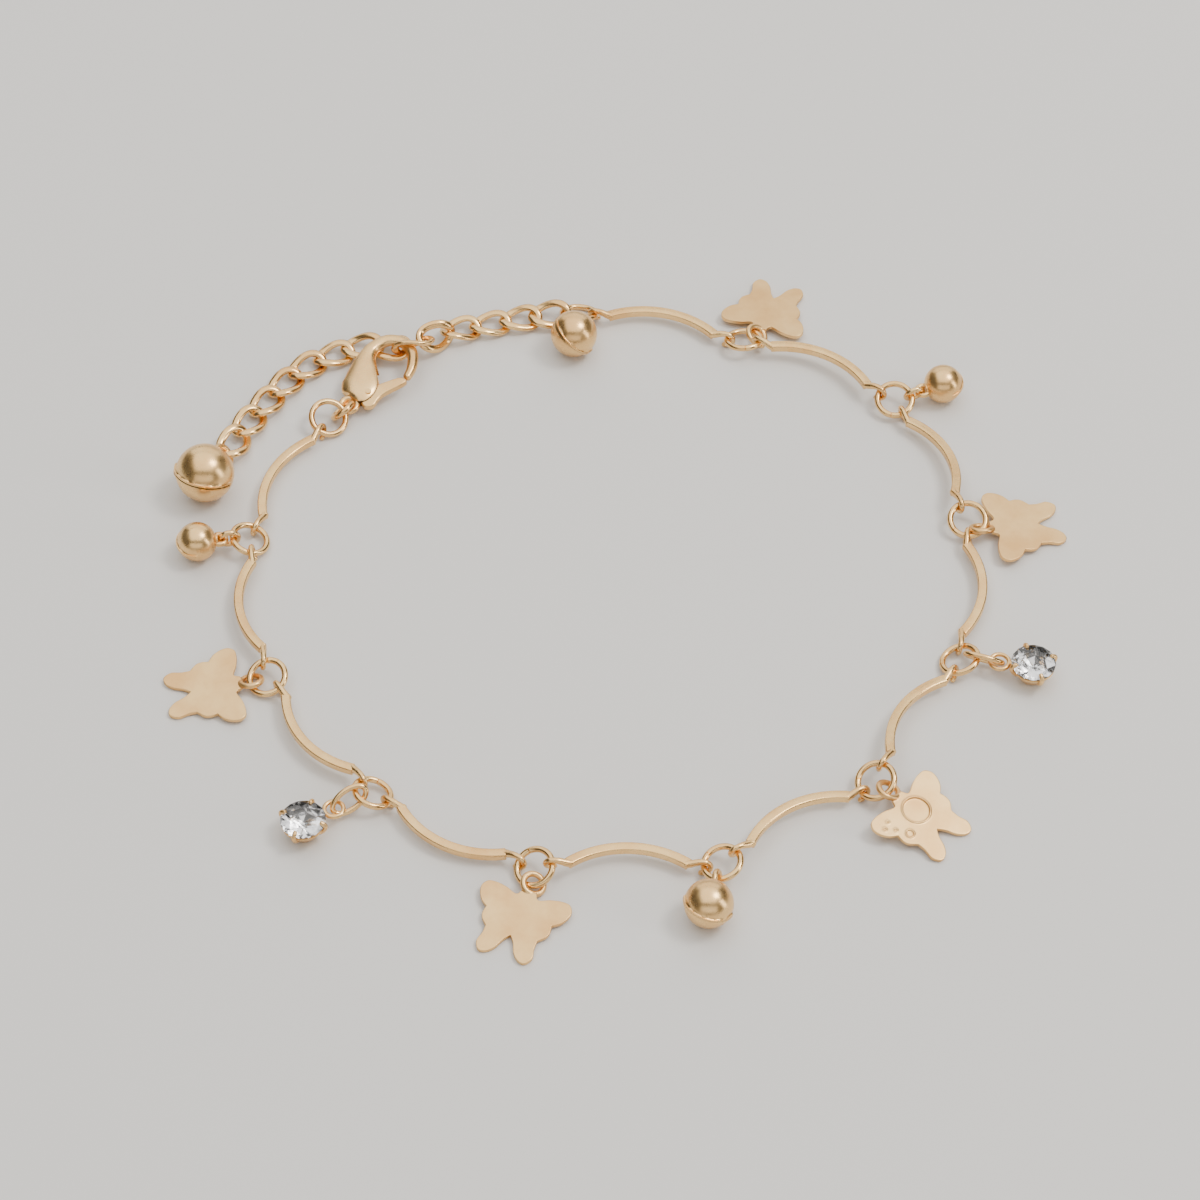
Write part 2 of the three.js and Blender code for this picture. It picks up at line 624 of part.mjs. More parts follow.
// ---- Assembly: extender chain ----
const chainStart = rings.at(-1).at(STATIONS.at(-1).heading);
const chainPoints = [chainStart];
CHAIN.forEach(({ step, heading, rise }) => {
  const next = chainPoints.at(-1).clone().addScaledVector(compass(heading), step);
  next.z = rise;
  chainPoints.push(next);
});
CHAIN.forEach(({ roll }, index) => {
  const at = chainPoints[index + 1];
  const before = chainPoints[index];
  const after = chainPoints[index + 2] ?? at.clone().add(at.clone().sub(before));
  const along = after.clone().sub(before);
  place(`chain_link_${twoDigits(index + 1)}`, curbLink, 'wire', at, along, rolled(along, roll));
});

const lastLink = chainPoints.at(-1);
const lastWay = compass(CHAIN.at(-1).heading);
const endEye = lastLink.clone().addScaledVector(lastWay, LINK_HALF_LENGTH - WIRE - 2 * SLACK);
const endClimb = END_BELL.radius + LIFT - endEye.z;
const endWay = compass(END_BELL.heading);
endWay.multiplyScalar(Math.sqrt(END_BELL.reach ** 2 - endClimb ** 2));
endWay.z = endClimb;
const endBall = endEye.clone().add(endWay);
const endUp = rolled(endWay, END_BELL.roll);
place('end_bell', bell(END_BELL), 'polished', endBall, endWay.negate(), endUp);

// ---- Assembly: clasp ----
const claspAt = new THREE.Vector3(CLASP_AT.x, CLASP_AT.y, CLASP_AT.z);
const claspWay = compass(CLASP_HEADING).multiplyScalar(Math.cos(rad(CLASP_PITCH)));
claspWay.z = Math.sin(rad(CLASP_PITCH));
place('clasp_body', claspBody(), 'polished', claspAt, claspWay, UP);
place('clasp_lever', claspLever(), 'polished', claspAt, claspWay, UP);
const tailRing = new LeaningRing(CLASP_RING.lean, CLASP_RING.dip, CLASP_RING.radius);
tailRing.centre.set(CLASP_RING.x, CLASP_RING.y, CLASP_RING.rise);
const tailRingShape = ring(CLASP_RING.radius, WIRE, 12);
place('clasp_ring', tailRingShape, 'wire', tailRing.centre, compass(CLASP_HEADING), tailRing.normal);

// ---- Middle of the outline over the origin ----
const bounds = new THREE.Box3().setFromObject(anklet, true);
const shift = bounds.getCenter(new THREE.Vector3()).setZ(bounds.min.z).negate();
anklet.children.forEach((mesh) => mesh.position.add(shift));

export default anklet;
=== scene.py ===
"""Looks of a charm anklet that lies closed on a pale table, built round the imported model.

Each kind of piece is modelled once, in millimetres and at the origin. A copy of it is then
stood where its solid lies, in metres. The layout follows the solids' own dimensions.
"""

from math import asin, cos, pi, radians, sin, sqrt

import bmesh
import bpy
from mathutils import Matrix, Vector


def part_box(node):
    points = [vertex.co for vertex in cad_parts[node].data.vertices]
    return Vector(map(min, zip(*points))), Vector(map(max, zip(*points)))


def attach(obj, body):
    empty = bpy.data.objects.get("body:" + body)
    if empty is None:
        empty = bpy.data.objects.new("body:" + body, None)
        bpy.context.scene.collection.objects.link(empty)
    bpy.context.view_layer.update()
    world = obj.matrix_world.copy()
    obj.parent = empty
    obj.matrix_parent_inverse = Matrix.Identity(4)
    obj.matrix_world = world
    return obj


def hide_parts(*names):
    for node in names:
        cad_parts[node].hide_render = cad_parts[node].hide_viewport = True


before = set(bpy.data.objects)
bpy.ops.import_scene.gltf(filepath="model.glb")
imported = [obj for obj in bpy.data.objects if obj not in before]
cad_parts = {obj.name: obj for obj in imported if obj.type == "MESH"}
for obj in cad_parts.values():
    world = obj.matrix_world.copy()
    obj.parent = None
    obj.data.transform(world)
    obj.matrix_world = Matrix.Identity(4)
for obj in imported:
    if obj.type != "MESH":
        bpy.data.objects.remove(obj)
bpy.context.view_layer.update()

# ---- Units ----
METRES = 0.001
MILLIMETRES = 1000

# ---- Dimensions of the solids, in millimetres; rounds of wire go to the wire's middle ----
WIRE = 0.5
EYE_WIRE = 0.45
LIFT = 0.02                        # what lies on the table clears it by this
SLACK = 0.06                       # play between two pieces that pull on each other
RING_RADIUS = 1.8
BAR_REACH = 14.3                   # from the middle of one curl to the middle of the other
BAR_CHORD = 11.5                   # the thick part of a bar, from end to end
BAR_SAGITTA = 1.85
BAR_WIDTH = 0.95
BAR_HEIGHT = 0.85
BAR_RISE = 0.2                     # the middle of the thick part above that of the curls
CURL_RADIUS = 0.65
LINK_HALF_LENGTH = 2.0
OVAL_HALF_LENGTH = 1.85
OVAL_HALF_WIDTH = 0.95
BELL_LINK_RADIUS = 0.92
PLATE = 0.4
BUTTERFLY_EYE_RADIUS = 1.03
BUTTERFLY_INSET = 0.15             # the middle of the eye inside the wire of its ring
BUTTERFLY_LENGTH = 8.4
STONE_RADIUS = 1.95
STONE_SEAT = 0.1                   # the stone's point above the floor of its cup
CUP_BASE_RADIUS = 1.15
CUP_TOP_RADIUS = 2.15
CUP_HEIGHT = 1.75
CUP_FLOOR = 0.35
CUP_EYE_RADIUS = 0.92
CUP_EYE_REACH = 3.3
CUP_EYE_HEIGHT = 1.45

# ---- Dimensions of the dressed pieces alone, in millimetres ----
DRESSED_WIRE = 0.64                # fuller than the solids' wire
DRESSED_EYE_WIRE = 0.56
BUTTERFLY_EYE_WIRE = 0.6
BUTTERFLY_GRAIN = 0.045            # the finest detail that casting leaves
CLASP_GRAIN = 0.06
SEAM_AT = 105                      # where a ring's ends meet, in degrees from its X axis
SEAM_WIDTH = 0.045
SEAM_WAIST = 0.78                  # share of the wire that is left in the seam
CURB_HALF_LENGTH = 1.94            # a curb link of flat, wide wire with a slight twist
CURB_HALF_WIDTH = 1.28
CURB_TWIST = 0.36
CURB_WIRE = 0.88
CURB_FLATNESS = 0.64               # share of the wire's width that is left upwards
BAR_BROKEN_EDGE = 0.17
BAR_BROKEN_END = 0.09
BELL_WALL = 0.16
BELL_SLOT = 0.075                  # half the slot's width, as a share of the bell's radius
BELL_SLOT_END = 0.15               # how far from the bell's middle the slot ends, likewise
BELL_LINES_END = 0.1               # and how far the lines that are cut along it
BELL_LIP = 2.6                     # the lip's outer edge, in half widths of the slot
BELL_LIP_RISE = 1.035              # the slot's edge is pushed outwards by this factor,
BELL_LIP_ROLL = 1.03               # and the rim on it by this one once more
STEM_WIDE = 0.62
STEM_NARROW = 0.34
STEM_SUNK = 0.45                   # what of the stem is inside the ball and the eye together
STEM_BACK = 0.12                   # how far the stem's middle lies back from the gap's middle
STEM_BROKEN_EDGE = 0.1
COLLAR_RADIUS = 0.6
COLLAR_WIRE = 0.24
COLLAR_SUNK = 0.06
STONE_GIRDLE = 2.2                 # the stone's widest round laps over the rim of the cup
CUP_RIM = 0.27
CUP_FLOOR_SHARE = 0.3              # radius of the cup's floor, as a share of its mouth's
CUP_BROKEN_RIM = 0.07
CUP_BROKEN_BASE = 0.1
CLAW_ROOT = 0.26                   # radius of a claw where it leaves the cup
CLAW_TAPER = 0.05                  # what a claw loses on its way to its tip
PIN_INSET = 0.04                   # what the pin is short of the clasp's thickness
LEVER_BROKEN_EDGE = 0.16
LEVER_PLAY = 0.1                   # between the lever and its pin
FOILED_DEPTH = 1.6                 # the silvering's upper edge above the stone's point

# ---- Layout tables: angles in degrees, directions by compass, 0 along +X ----
STATIONS = [
    dict(heading=-113.6, bow=-1, lean=28, dip=-56),
    dict(heading=-81.3, bow=-1, lean=20, dip=0),
    dict(heading=-52.4, bow=-1, lean=19, dip=-129),
    dict(heading=-28.1, bow=-1, lean=22, dip=26),
    dict(heading=1.9, bow=1, lean=26, dip=-142),
    dict(heading=32.1, bow=1, lean=16, dip=-172),
    dict(heading=58.8, bow=1, lean=24, dip=-145),
    dict(heading=84.2, bow=-1, lean=20, dip=162),
    dict(heading=111.5, bow=-1, lean=18, dip=-90),
    dict(heading=149.9, bow=-1, lean=18, dip=-90),
    dict(heading=167, bow=-1, lean=17, dip=100),
    dict(heading=187, bow=0, lean=25, dip=83),
]
FIRST_RING = dict(x=-28.6, y=24.65)
BUTTERFLIES = [
    dict(ring=3, azimuth=190, heading=-168.6, twist=25, face_up=False),
    dict(ring=5, azimuth=-100, heading=-110.4, twist=25, face_up=False),
    dict(ring=7, azimuth=-45, heading=-40.8, twist=25, face_up=True),
    dict(ring=9, azimuth=-38, heading=10.9, twist=34, face_up=False),
    dict(ring=11, azimuth=34, heading=70.7, twist=32, face_up=False),
]
BELLS = [
    dict(ring=2, radius=2.0, eye=0.65, reach=2.9, azimuth=191, linked=True, slot=90),
    dict(ring=6, radius=2.35, eye=0.95, reach=4.45, azimuth=-105, linked=False, slot=25),
    dict(ring=10, radius=2.0, eye=0.65, reach=2.9, azimuth=19, linked=True, slot=90),
    dict(ring=12, radius=2.45, eye=0.72, reach=3.4, azimuth=-97, linked=False, slot=40),
]
END_BELL = dict(radius=3.0, eye=1.1, reach=5.3, heading=247, roll=45, slot=45)
CRYSTALS = [
    dict(ring=4, azimuth=205, heading=212, roll=45, span=1.65, spin=-7),
    dict(ring=8, azimuth=-6, heading=-12, roll=60, span=1.3, spin=-16),
]
CHAIN = [
    dict(step=1.35, heading=187, rise=1.11, roll=14),
    dict(step=3.15, heading=185.9, rise=0.86, roll=3),
    dict(step=3.26, heading=192.2, rise=0.76, roll=0),
    dict(step=3.21, heading=197.3, rise=0.98, roll=0),
    dict(step=3.14, heading=213.3, rise=1.68, roll=50),
    dict(step=2.82, heading=213.4, rise=2.15, roll=-53),
    dict(step=2.39, heading=173.4, rise=1.19, roll=0),
    dict(step=3.09, heading=170.6, rise=0.90, roll=7),
    dict(step=3.17, heading=198.4, rise=0.72, roll=-1),
    dict(step=3.18, heading=211.3, rise=0.70, roll=2),
    dict(step=3.24, heading=228.3, rise=0.70, roll=0),
    dict(step=3.28, heading=236.3, rise=0.77, roll=0),
    dict(step=3.26, heading=240.2, rise=0.86, roll=6),
    dict(step=3.31, heading=245.7, rise=1.12, roll=17),
]
CLASP = dict(x=-26.57, y=26.7, z=1.05, heading=55, pitch=8, thickness=1.7)
CLASP_RING = dict(x=-27.2, y=25.8, lean=50, dip=145, radius=1.2, rise=1.2)
TAIL_EYE = 0.85
PIVOT = dict(x=2.1, y=-1.05)
PIN_RADIUS = 0.3
SLOT_WIDTH = 0.9
LEVER_THICKNESS = 0.7

# ---- Outlines and sections of the pieces, in millimetres ----
# The clasp in its own plane: x from the tail hole to the far end of the hook, r across it
# and rise from its middle plane.
CLASP_LINE = [
    dict(at="tail", x=0.62, y=-0.15, r=0.95, rise=0.42),
    dict(at="heel", x=1.1, y=-0.15, r=1.6, rise=0.74),
    dict(at="belly", x=1.95, y=0.1, r=2.0, rise=0.88),
    dict(at="belly", x=2.9, y=0.5, r=2.08, rise=0.9),
    dict(at="waist", x=4.0, y=1.15, r=1.7, rise=0.86),
    dict(at="neck", x=5.1, y=1.75, r=1.28, rise=0.8),
    dict(at="neck", x=6.2, y=2.15, r=0.92, rise=0.72),
    dict(at="root of the hook", x=7.3, y=2.2, r=0.74, rise=0.64),
    dict(at="left of the end", x=8.8, y=1.5, r=0.66, rise=0.58),
    dict(at="far end", x=9.45, y=-0.05, r=0.62, rise=0.56),
    dict(at="right of the end", x=8.9, y=-1.65, r=0.6, rise=0.56),
    dict(at="coming back", x=7.4, y=-2.75, r=0.55, rise=0.54),
    dict(at="tip", x=5.8, y=-3.15, r=0.42, rise=0.42),
]
LEVER_OUTLINE = [
    dict(at="tip, inside", x=5.5, y=-2.6),
    dict(at="arm, inside", x=3.6, y=-1.2),
    dict(at="root, inside", x=2.5, y=-0.45),
    dict(at="root, back", x=1.6, y=-0.5),
    dict(at="thumb tab, inside", x=0.75, y=-1.1),
    dict(at="thumb tab, end", x=0.55, y=-1.75),
    dict(at="thumb tab, outside", x=1.15, y=-2.35),
    dict(at="arm, outside", x=2.7, y=-2.35),
    dict(at="tip, outside", x=5.32, y=-3.48),
]
SLOT_OUTLINE = [
    dict(at="heel, outside", x=0.35, y=-3),
    dict(at="heel, inside", x=0.35, y=-0.85),
    dict(at="root", x=1.3, y=-0.1),
    dict(at="throat, inside", x=4.8, y=-0.1),
    dict(at="throat, outside", x=4.8, y=-3),
]

# Half of a butterfly, x across and y away from the tips of the lower wings.
HALF_BUTTERFLY = dict(
    upper_wing=[
        dict(at="neck", x=0.7, y=-0.95),
        dict(at="under the eye", x=1.1, y=-1.6),
        dict(at="front edge", x=2.2, y=-1.2),
        dict(at="front edge", x=3.3, y=-1.0),
        dict(at="tip", x=4.1, y=-1.12),
        dict(at="tip", x=4.52, y=-1.75),
        dict(at="outer edge", x=4.4, y=-2.55),
        dict(at="outer edge", x=3.95, y=-3.3),
        dict(at="first notch", x=3.28, y=-3.8),
    ],
    scallop=[
        dict(at="first notch", x=3.28, y=-3.8),
        dict(at="crest", x=3.38, y=-4.5),
        dict(at="crest", x=3.22, y=-5.1),
        dict(at="second notch", x=2.6, y=-5.75),
    ],
    lower_wing=[
        dict(at="second notch", x=2.6, y=-5.75),
        dict(at="outer edge", x=2.6, y=-6.6),
        dict(at="outer edge", x=2.8, y=-7.6),
        dict(at="tip", x=2.35, y=-8.4),
        dict(at="tip", x=1.6, y=-8.35),
        dict(at="inner edge", x=0.95, y=-7.7),
        dict(at="inner edge", x=0.5, y=-6.7),
        dict(at="middle notch", x=0.0, y=-6.0),
    ],
)

# The raised rims and their sunk floors on a butterfly's face, across it and away from its eye.
BUTTERFLY_RELIEF = [
    dict(at="dish", x=0.15, y=-3.3, r=1.4, deep=0.1, rim=0.09),
    dict(at="boss on the left wing", x=-2.3, y=-4.5, r=0.42, deep=0.05, rim=0.08),
    dict(at="bead", x=-3.0, y=-3.3, r=0.2, deep=0.05, rim=0.06),
    dict(at="bead", x=-3.7, y=-2.5, r=0.2, deep=0.05, rim=0.06),
    dict(at="bead", x=-2.9, y=-2.2, r=0.16, deep=0.05, rim=0.06),
]

# The tongue from a bar's end up to its curl: x from the end of the thick part, z from the
# middle of the curls, r its radius.
TONGUE = [
    dict(x=-0.5, y=0, z=0.22, r=0.4),
    dict(x=0, y=0, z=0.3, r=0.38),
    dict(x=0.45, y=0, z=0.46, r=0.34),
    dict(x=0.95, y=-0.01, z=0.63, r=0.31),
]
# The curl from its top round the wire: degrees to a step, how far aside it starts and goes.
CURL = dict(steps=12, turn=20, aside=0.02, aside_step=0.03, r=0.29, r_step=0.004)

# A round brilliant from its table down to its point: share of the girdle's radius, z as a
# share of the stone's radius, turn as a share of the way from one corner to the next.
STONE_ROUNDS = [
    dict(at="table", share=0.48, z=1.2, count=8, turn=0.5),
    dict(at="crown", share=0.77, z=1.08, count=8, turn=0),
    dict(at="girdle, upper", share=1.0, z=0.92, count=16, turn=0.25),
    dict(at="girdle, lower", share=1.0, z=0.86, count=16, turn=0.25),
    dict(at="back", share=0.52, z=0.37, count=8, turn=0),
    dict(at="culet", share=0.05, z=0.04, count=8, turn=0.5),
]

# A claw in its own plane: x from the middle of the stone, z from the table.
CLAW_LINE = [
    dict(at="root, in the cup's wall", x=1.62, z=0.9),
    dict(at="leaving the wall", x=2.02, z=1.4),
    dict(at="rim of the cup", x=2.24, z=1.85),
    dict(at="girdle of the stone", x=2.28, z=2.2),
    dict(at="over the crown", x=2.1, z=2.42),
    dict(at="tip", x=1.74, z=2.54),
]
CLAW_TURNS = (45, 135, 225, 315)
SETTING_STEM = [
    dict(at="eye", x=-2.45, r=0.2),
    dict(at="eye's side", x=-2.2, r=0.24),
    dict(at="cup's side", x=-1.95, r=0.28),
    dict(at="cup", x=-1.72, r=0.33),
]

# ---- Directions and curves ----
UP = Vector((0, 0, 1))


def compass(degrees):
    """A level direction, 0 along +X and 90 along +Y."""
    return Vector((cos(radians(degrees)), sin(radians(degrees)), 0))


def rolled(along, degrees):
    """Straight up, turned about a line by an angle: positive lifts the line's left side."""
    left = UP.cross(along).normalized()
    return UP * cos(radians(degrees)) + left * sin(radians(degrees))


def stand(at, forward, up):
    """The place of a piece at a point, its X along forward and its Z as near up as it can."""
    x = forward.normalized()
    z = (up - x * up.dot(x)).normalized()
    turn = Matrix((x, z.cross(x), z)).transposed()
    return Matrix.Translation(at) @ turn.to_4x4()


def curve_through(points, steps):
    """Points along a smooth curve that passes through the given ones."""
    last = len(points) - 1
    line = []
    for i in range(last):
        a, b, c, d = points[max(i - 1, 0)], points[i], points[i + 1], points[min(i + 2, last)]
        for k in range(steps):
            t = k / steps
            line.append(
                0.5 * (2 * b + (c - a) * t + (2 * a - 5 * b + 4 * c - d) * t ** 2
                       + (3 * b - a - 3 * c + d) * t ** 3)
            )
    line.append(points[-1].copy())
    return line


# ---- Where each piece lies ----
class LeaningRing:
    """A ring that leans: its plane's normal, and any point of its wire by compass direction."""

    def __init__(self, lean, dip, radius):
        self.normal = UP * cos(radians(lean)) + compass(dip) * sin(radians(lean))
        self.radius = radius
        self.centre = Vector((0, 0, 0))

    def arm(self, azimuth):
        flat = compass(azimuth)
        return (flat - self.normal * flat.dot(self.normal)).normalized() * self.radius

    def at(self, azimuth):
        return self.centre + self.arm(azimuth)

    def along(self, azimuth):
        return self.normal.cross(self.arm(azimuth)).normalized()


def loads_on(index):
    """What hangs on a ring: its compass direction, and how far it reaches below the wire."""
    station = STATIONS[index]
    curl_drop = CURL_RADIUS + WIRE / 2
    loads = []
    if station["bow"]:
        loads.append((station["heading"], curl_drop))
    if index > 0:
        loads.append((STATIONS[index - 1]["heading"] + 180, curl_drop))
    for charm in BUTTERFLIES:
        if charm["ring"] == index + 1:
            tilt = BUTTERFLY_EYE_RADIUS * sin(radians(charm["twist"]))
            loads.append((charm["azimuth"], tilt + EYE_WIRE / 2))
    return loads


def resting_height(link, loads):
    """How high a ring's middle lies with the ring and all that hangs on it above the table."""
    lowest = link.radius * sqrt(1 - link.normal.z ** 2) + WIRE / 2
    drops = [drop - link.arm(azimuth).z for azimuth, drop in loads]
    return max([lowest, *drops]) + LIFT


def lay_band(places):
    """Walks along the band from ring to ring, and gives the rings."""
    rings = []
    for index, station in enumerate(STATIONS):
        link = LeaningRing(station["lean"], station["dip"], RING_RADIUS)
        link.centre.z = resting_height(link, loads_on(index))
        if index == 0:
            link.centre.x, link.centre.y = FIRST_RING["x"], FIRST_RING["y"]
        else:
            before = STATIONS[index - 1]
            start = rings[-1].at(before["heading"])
            end = link.arm(before["heading"] + 180)
            climb = link.centre.z + end.z - start.z
            finish = start + compass(before["heading"]) * sqrt(BAR_REACH ** 2 - climb ** 2)
            finish.z += climb
            link.centre = finish - end
            places[f"bar_{index:02d}"] = stand((start + finish) / 2, finish - start, UP)
        rings.append(link)
        place = stand(link.centre, link.arm(station["heading"]), link.normal)
        places[f"jump_ring_{index + 1:02d}"] = place
    return rings


def lay_butterflies(places, rings):
    """Stands the butterflies, and gives the turn of each one's eye."""
    twists = []
    for number, charm in enumerate(BUTTERFLIES, 1):
        link = rings[charm["ring"] - 1]
        azimuth = charm["azimuth"]
        hole = link.at(azimuth) - link.arm(azimuth) * (BUTTERFLY_INSET / RING_RADIUS)
        drop = asin((hole.z - PLATE / 2 - LIFT) / BUTTERFLY_LENGTH)
        forward = compass(charm["heading"]) * cos(drop) - UP * sin(drop)
        up = UP if charm["face_up"] else -UP
        sideways = up.cross(forward)
        along = link.along(azimuth)
        threading = 1 if along.dot(sideways) * along.dot(up) > 0 else -1
        twists.append(threading * charm["twist"])
        places[f"butterfly_{number}"] = stand(hole, forward, up)
    return twists


def lay_bells(places, rings):
    """Stands the bells out from their rings, some of them by way of a small link."""
    linked = 0
    link_play = BELL_LINK_RADIUS - WIRE - SLACK
    hold = (WIRE + EYE_WIRE) / 2 + 2 * SLACK
    for number, row in enumerate(BELLS, 1):
        link = rings[row["ring"] - 1]
        wire_point = link.at(row["azimuth"])
        distance = row["reach"] + (2 * link_play if row["linked"] else -hold)
        climb = row["radius"] + LIFT - wire_point.z
        forward = compass(row["azimuth"]) * sqrt(distance ** 2 - climb ** 2) + UP * climb
        wire_way = link.along(row["azimuth"])
        if row["linked"]:
            linked += 1
            middle = wire_point + forward * (link_play / distance)
            places[f"bell_link_{linked}"] = stand(middle, forward, wire_way)
        up = UP if row["linked"] else wire_way
        places[f"bell_{number}"] = stand(wire_point + forward, -forward, up)


def lay_crystals(places, rings):
    """Stands the cups flat on the table, each with its stone and its oval link."""
    for number, row in enumerate(CRYSTALS, 1):
        wire_point = rings[row["ring"] - 1].at(row["azimuth"])
        level = compass(row["heading"])
        fall = CUP_EYE_HEIGHT - wire_point.z
        steepest = row["span"] ** 2 * 0.9
        run = sqrt(row["span"] ** 2 - min(fall ** 2, steepest))
        eye_wire = wire_point + level * run
        eye_wire.z = CUP_EYE_HEIGHT
        along = eye_wire - wire_point
        middle = (wire_point + eye_wire) / 2
        places[f"crystal_link_{number}"] = stand(middle, along, rolled(along, row["roll"]))
        base = eye_wire + level * (CUP_EYE_REACH + CUP_EYE_RADIUS)
        base.z = 0
        places[f"crystal_setting_{number}"] = stand(base, level, UP)
        places[f"crystal_{number}"] = stand(base + UP * (CUP_FLOOR + STONE_SEAT), level, UP)


def lay_chain(places, rings):
    """Lays the links of the extender from the last ring, and the bell at its end."""
    points = [rings[-1].at(STATIONS[-1]["heading"])]
    for row in CHAIN:
        point = points[-1] + compass(row["heading"]) * row["step"]
        point.z = row["rise"]
        points.append(point)
    after_last = points[-1] * 2 - points[-2]
    for number, row in enumerate(CHAIN, 1):
        after = points[number + 1] if number < len(CHAIN) else after_last
        along = after - points[number - 1]
        place = stand(points[number], along, rolled(along, row["roll"]))
        places[f"chain_link_{number:02d}"] = place
    hold = LINK_HALF_LENGTH - WIRE - 2 * SLACK
    eye = points[-1] + compass(CHAIN[-1]["heading"]) * hold
    climb = END_BELL["radius"] + LIFT - eye.z
    way = compass(END_BELL["heading"]) * sqrt(END_BELL["reach"] ** 2 - climb ** 2) + UP * climb
    places["end_bell"] = stand(eye + way, -way, rolled(way, END_BELL["roll"]))


def lay_clasp(places):
    """Stands the clasp, its lever and the small ring at its tail."""
    way = compass(CLASP["heading"]) * cos(radians(CLASP["pitch"]))
    way.z = sin(radians(CLASP["pitch"]))
    place = stand(Vector((CLASP["x"], CLASP["y"], CLASP["z"])), way, UP)
    places["clasp_body"] = place
    places["clasp_lever"] = place.copy()
    ring = LeaningRing(CLASP_RING["lean"], CLASP_RING["dip"], CLASP_RING["radius"])
    centre = Vector((CLASP_RING["x"], CLASP_RING["y"], CLASP_RING["rise"]))
    places["clasp_ring"] = stand(centre, compass(CLASP["heading"]), ring.normal)


places = {}
rings = lay_band(places)
twists = lay_butterflies(places, rings)
lay_bells(places, rings)
lay_crystals(places, rings)
lay_chain(places, rings)
lay_clasp(places)


def table_shift():
    """How far the solids lie from this layout, from the middles of the jump rings."""
    total = Vector((0, 0, 0))
    for number, link in enumerate(rings, 1):
        low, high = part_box(f"jump_ring_{number:02d}")
        total += (low + high) / 2 * MILLIMETRES - link.centre
    return Vector((total.x / len(rings), total.y / len(rings), 0))


SHIFT = table_shift()


# ---- The bench: selecting, editing and finishing ----
# Points nearer to each other than these, in millimetres, count as being at one place: the
# first for points that a tool sets, the second for heights and distances worked out.
TOUCHING = 1e-4
NEAR = 1e-3


def free():
    """Leaves edit mode, with nothing selected."""
    if bpy.context.mode != "OBJECT":
        bpy.ops.object.mode_set(mode="OBJECT")
    bpy.ops.object.select_all(action="DESELECT")


def hold_piece(piece):
    """Selects one piece alone, and makes it the one that is worked on."""
    free()
    piece.select_set(True)
    bpy.context.view_layer.objects.active = piece


def edit(piece):
    """Enters edit mode, with the whole piece selected."""
    hold_piece(piece)
    bpy.ops.object.mode_set(mode="EDIT")
    bpy.ops.mesh.select_all(action="SELECT")


def done():
    """Leaves edit mode."""
    bpy.ops.object.mode_set(mode="OBJECT")


def pick(piece, kind, test):
    """In edit mode, selects the vertices, edges or faces that pass a test, and no others."""
    bpy.ops.mesh.select_mode(type=kind)
    bpy.ops.mesh.select_all(action="DESELECT")
    shape = bmesh.from_edit_mesh(piece.data)
    parts = dict(VERT=shape.verts, EDGE=shape.edges, FACE=shape.faces)[kind]
    for part in parts:
        if test(part):
            part.select_set(True)
    shape.select_flush_mode()
    bmesh.update_edit_mesh(piece.data)


def begin(name, primitive, at=(0, 0, 0), turn=(0, 0, 0), scale=(1, 1, 1), **shape):
    """A new primitive at its size and place, with its place in its mesh."""
    free()
    primitive(location=at, rotation=turn, **shape)
    piece = bpy.context.object
    piece.name = name
    piece.scale = scale
    bpy.ops.object.transform_apply(location=True, rotation=True, scale=True)
    return piece


def begin_empty(name):
    """A new piece without points, in edit mode."""
    free()
    bpy.ops.mesh.primitive_circle_add(vertices=3, enter_editmode=True)
    piece = bpy.context.object
    piece.name = name
    bpy.ops.mesh.delete(type="VERT")
    return piece


def apply(piece, name, kind, **settings):
    """Adds a modifier with its settings, and applies it."""
    hold_piece(piece)
    modifier = piece.modifiers.new(name, kind)
    for key, value in settings.items():
        setattr(modifier, key, value)
    bpy.ops.object.modifier_apply(modifier=modifier.name)


def cut(piece, tool):
    """Takes a tool's shape out of a piece, and puts the tool away."""
    apply(piece, "cut", "BOOLEAN", operation="DIFFERENCE", solver="EXACT", object=tool)
    bpy.data.objects.remove(tool)
    return piece


def duplicate(piece):
    """A copy of a piece with a mesh of its own."""
    other = piece.copy()
    other.data = piece.data.copy()
    bpy.context.scene.collection.objects.link(other)
    return other


def solder(name, *pieces):
    """Joins shells into one piece."""
    hold_piece(pieces[0])
    for piece in pieces:
        piece.select_set(True)
    bpy.ops.object.join()
    pieces[0].name = name
    return pieces[0]


def cast(piece, grain, rounds):
    """Melts the shells of a piece into one skin with soft edges, as casting and plating do."""
    apply(piece, "skin", "REMESH", mode="VOXEL", voxel_size=grain, use_smooth_shade=True)
    apply(piece, "soft edges", "SMOOTH", factor=0.5, iterations=rounds)
    return piece


def face_out():
    """In edit mode, turns all faces outwards."""
    bpy.ops.mesh.select_all(action="SELECT")
    bpy.ops.mesh.normals_make_consistent(inside=False)


def soften(piece, degrees=38):
    """Shades a piece smooth, but for the edges that are sharper than an angle."""
    hold_piece(piece)
    bpy.ops.object.shade_smooth_by_angle(angle=radians(degrees))
    return piece


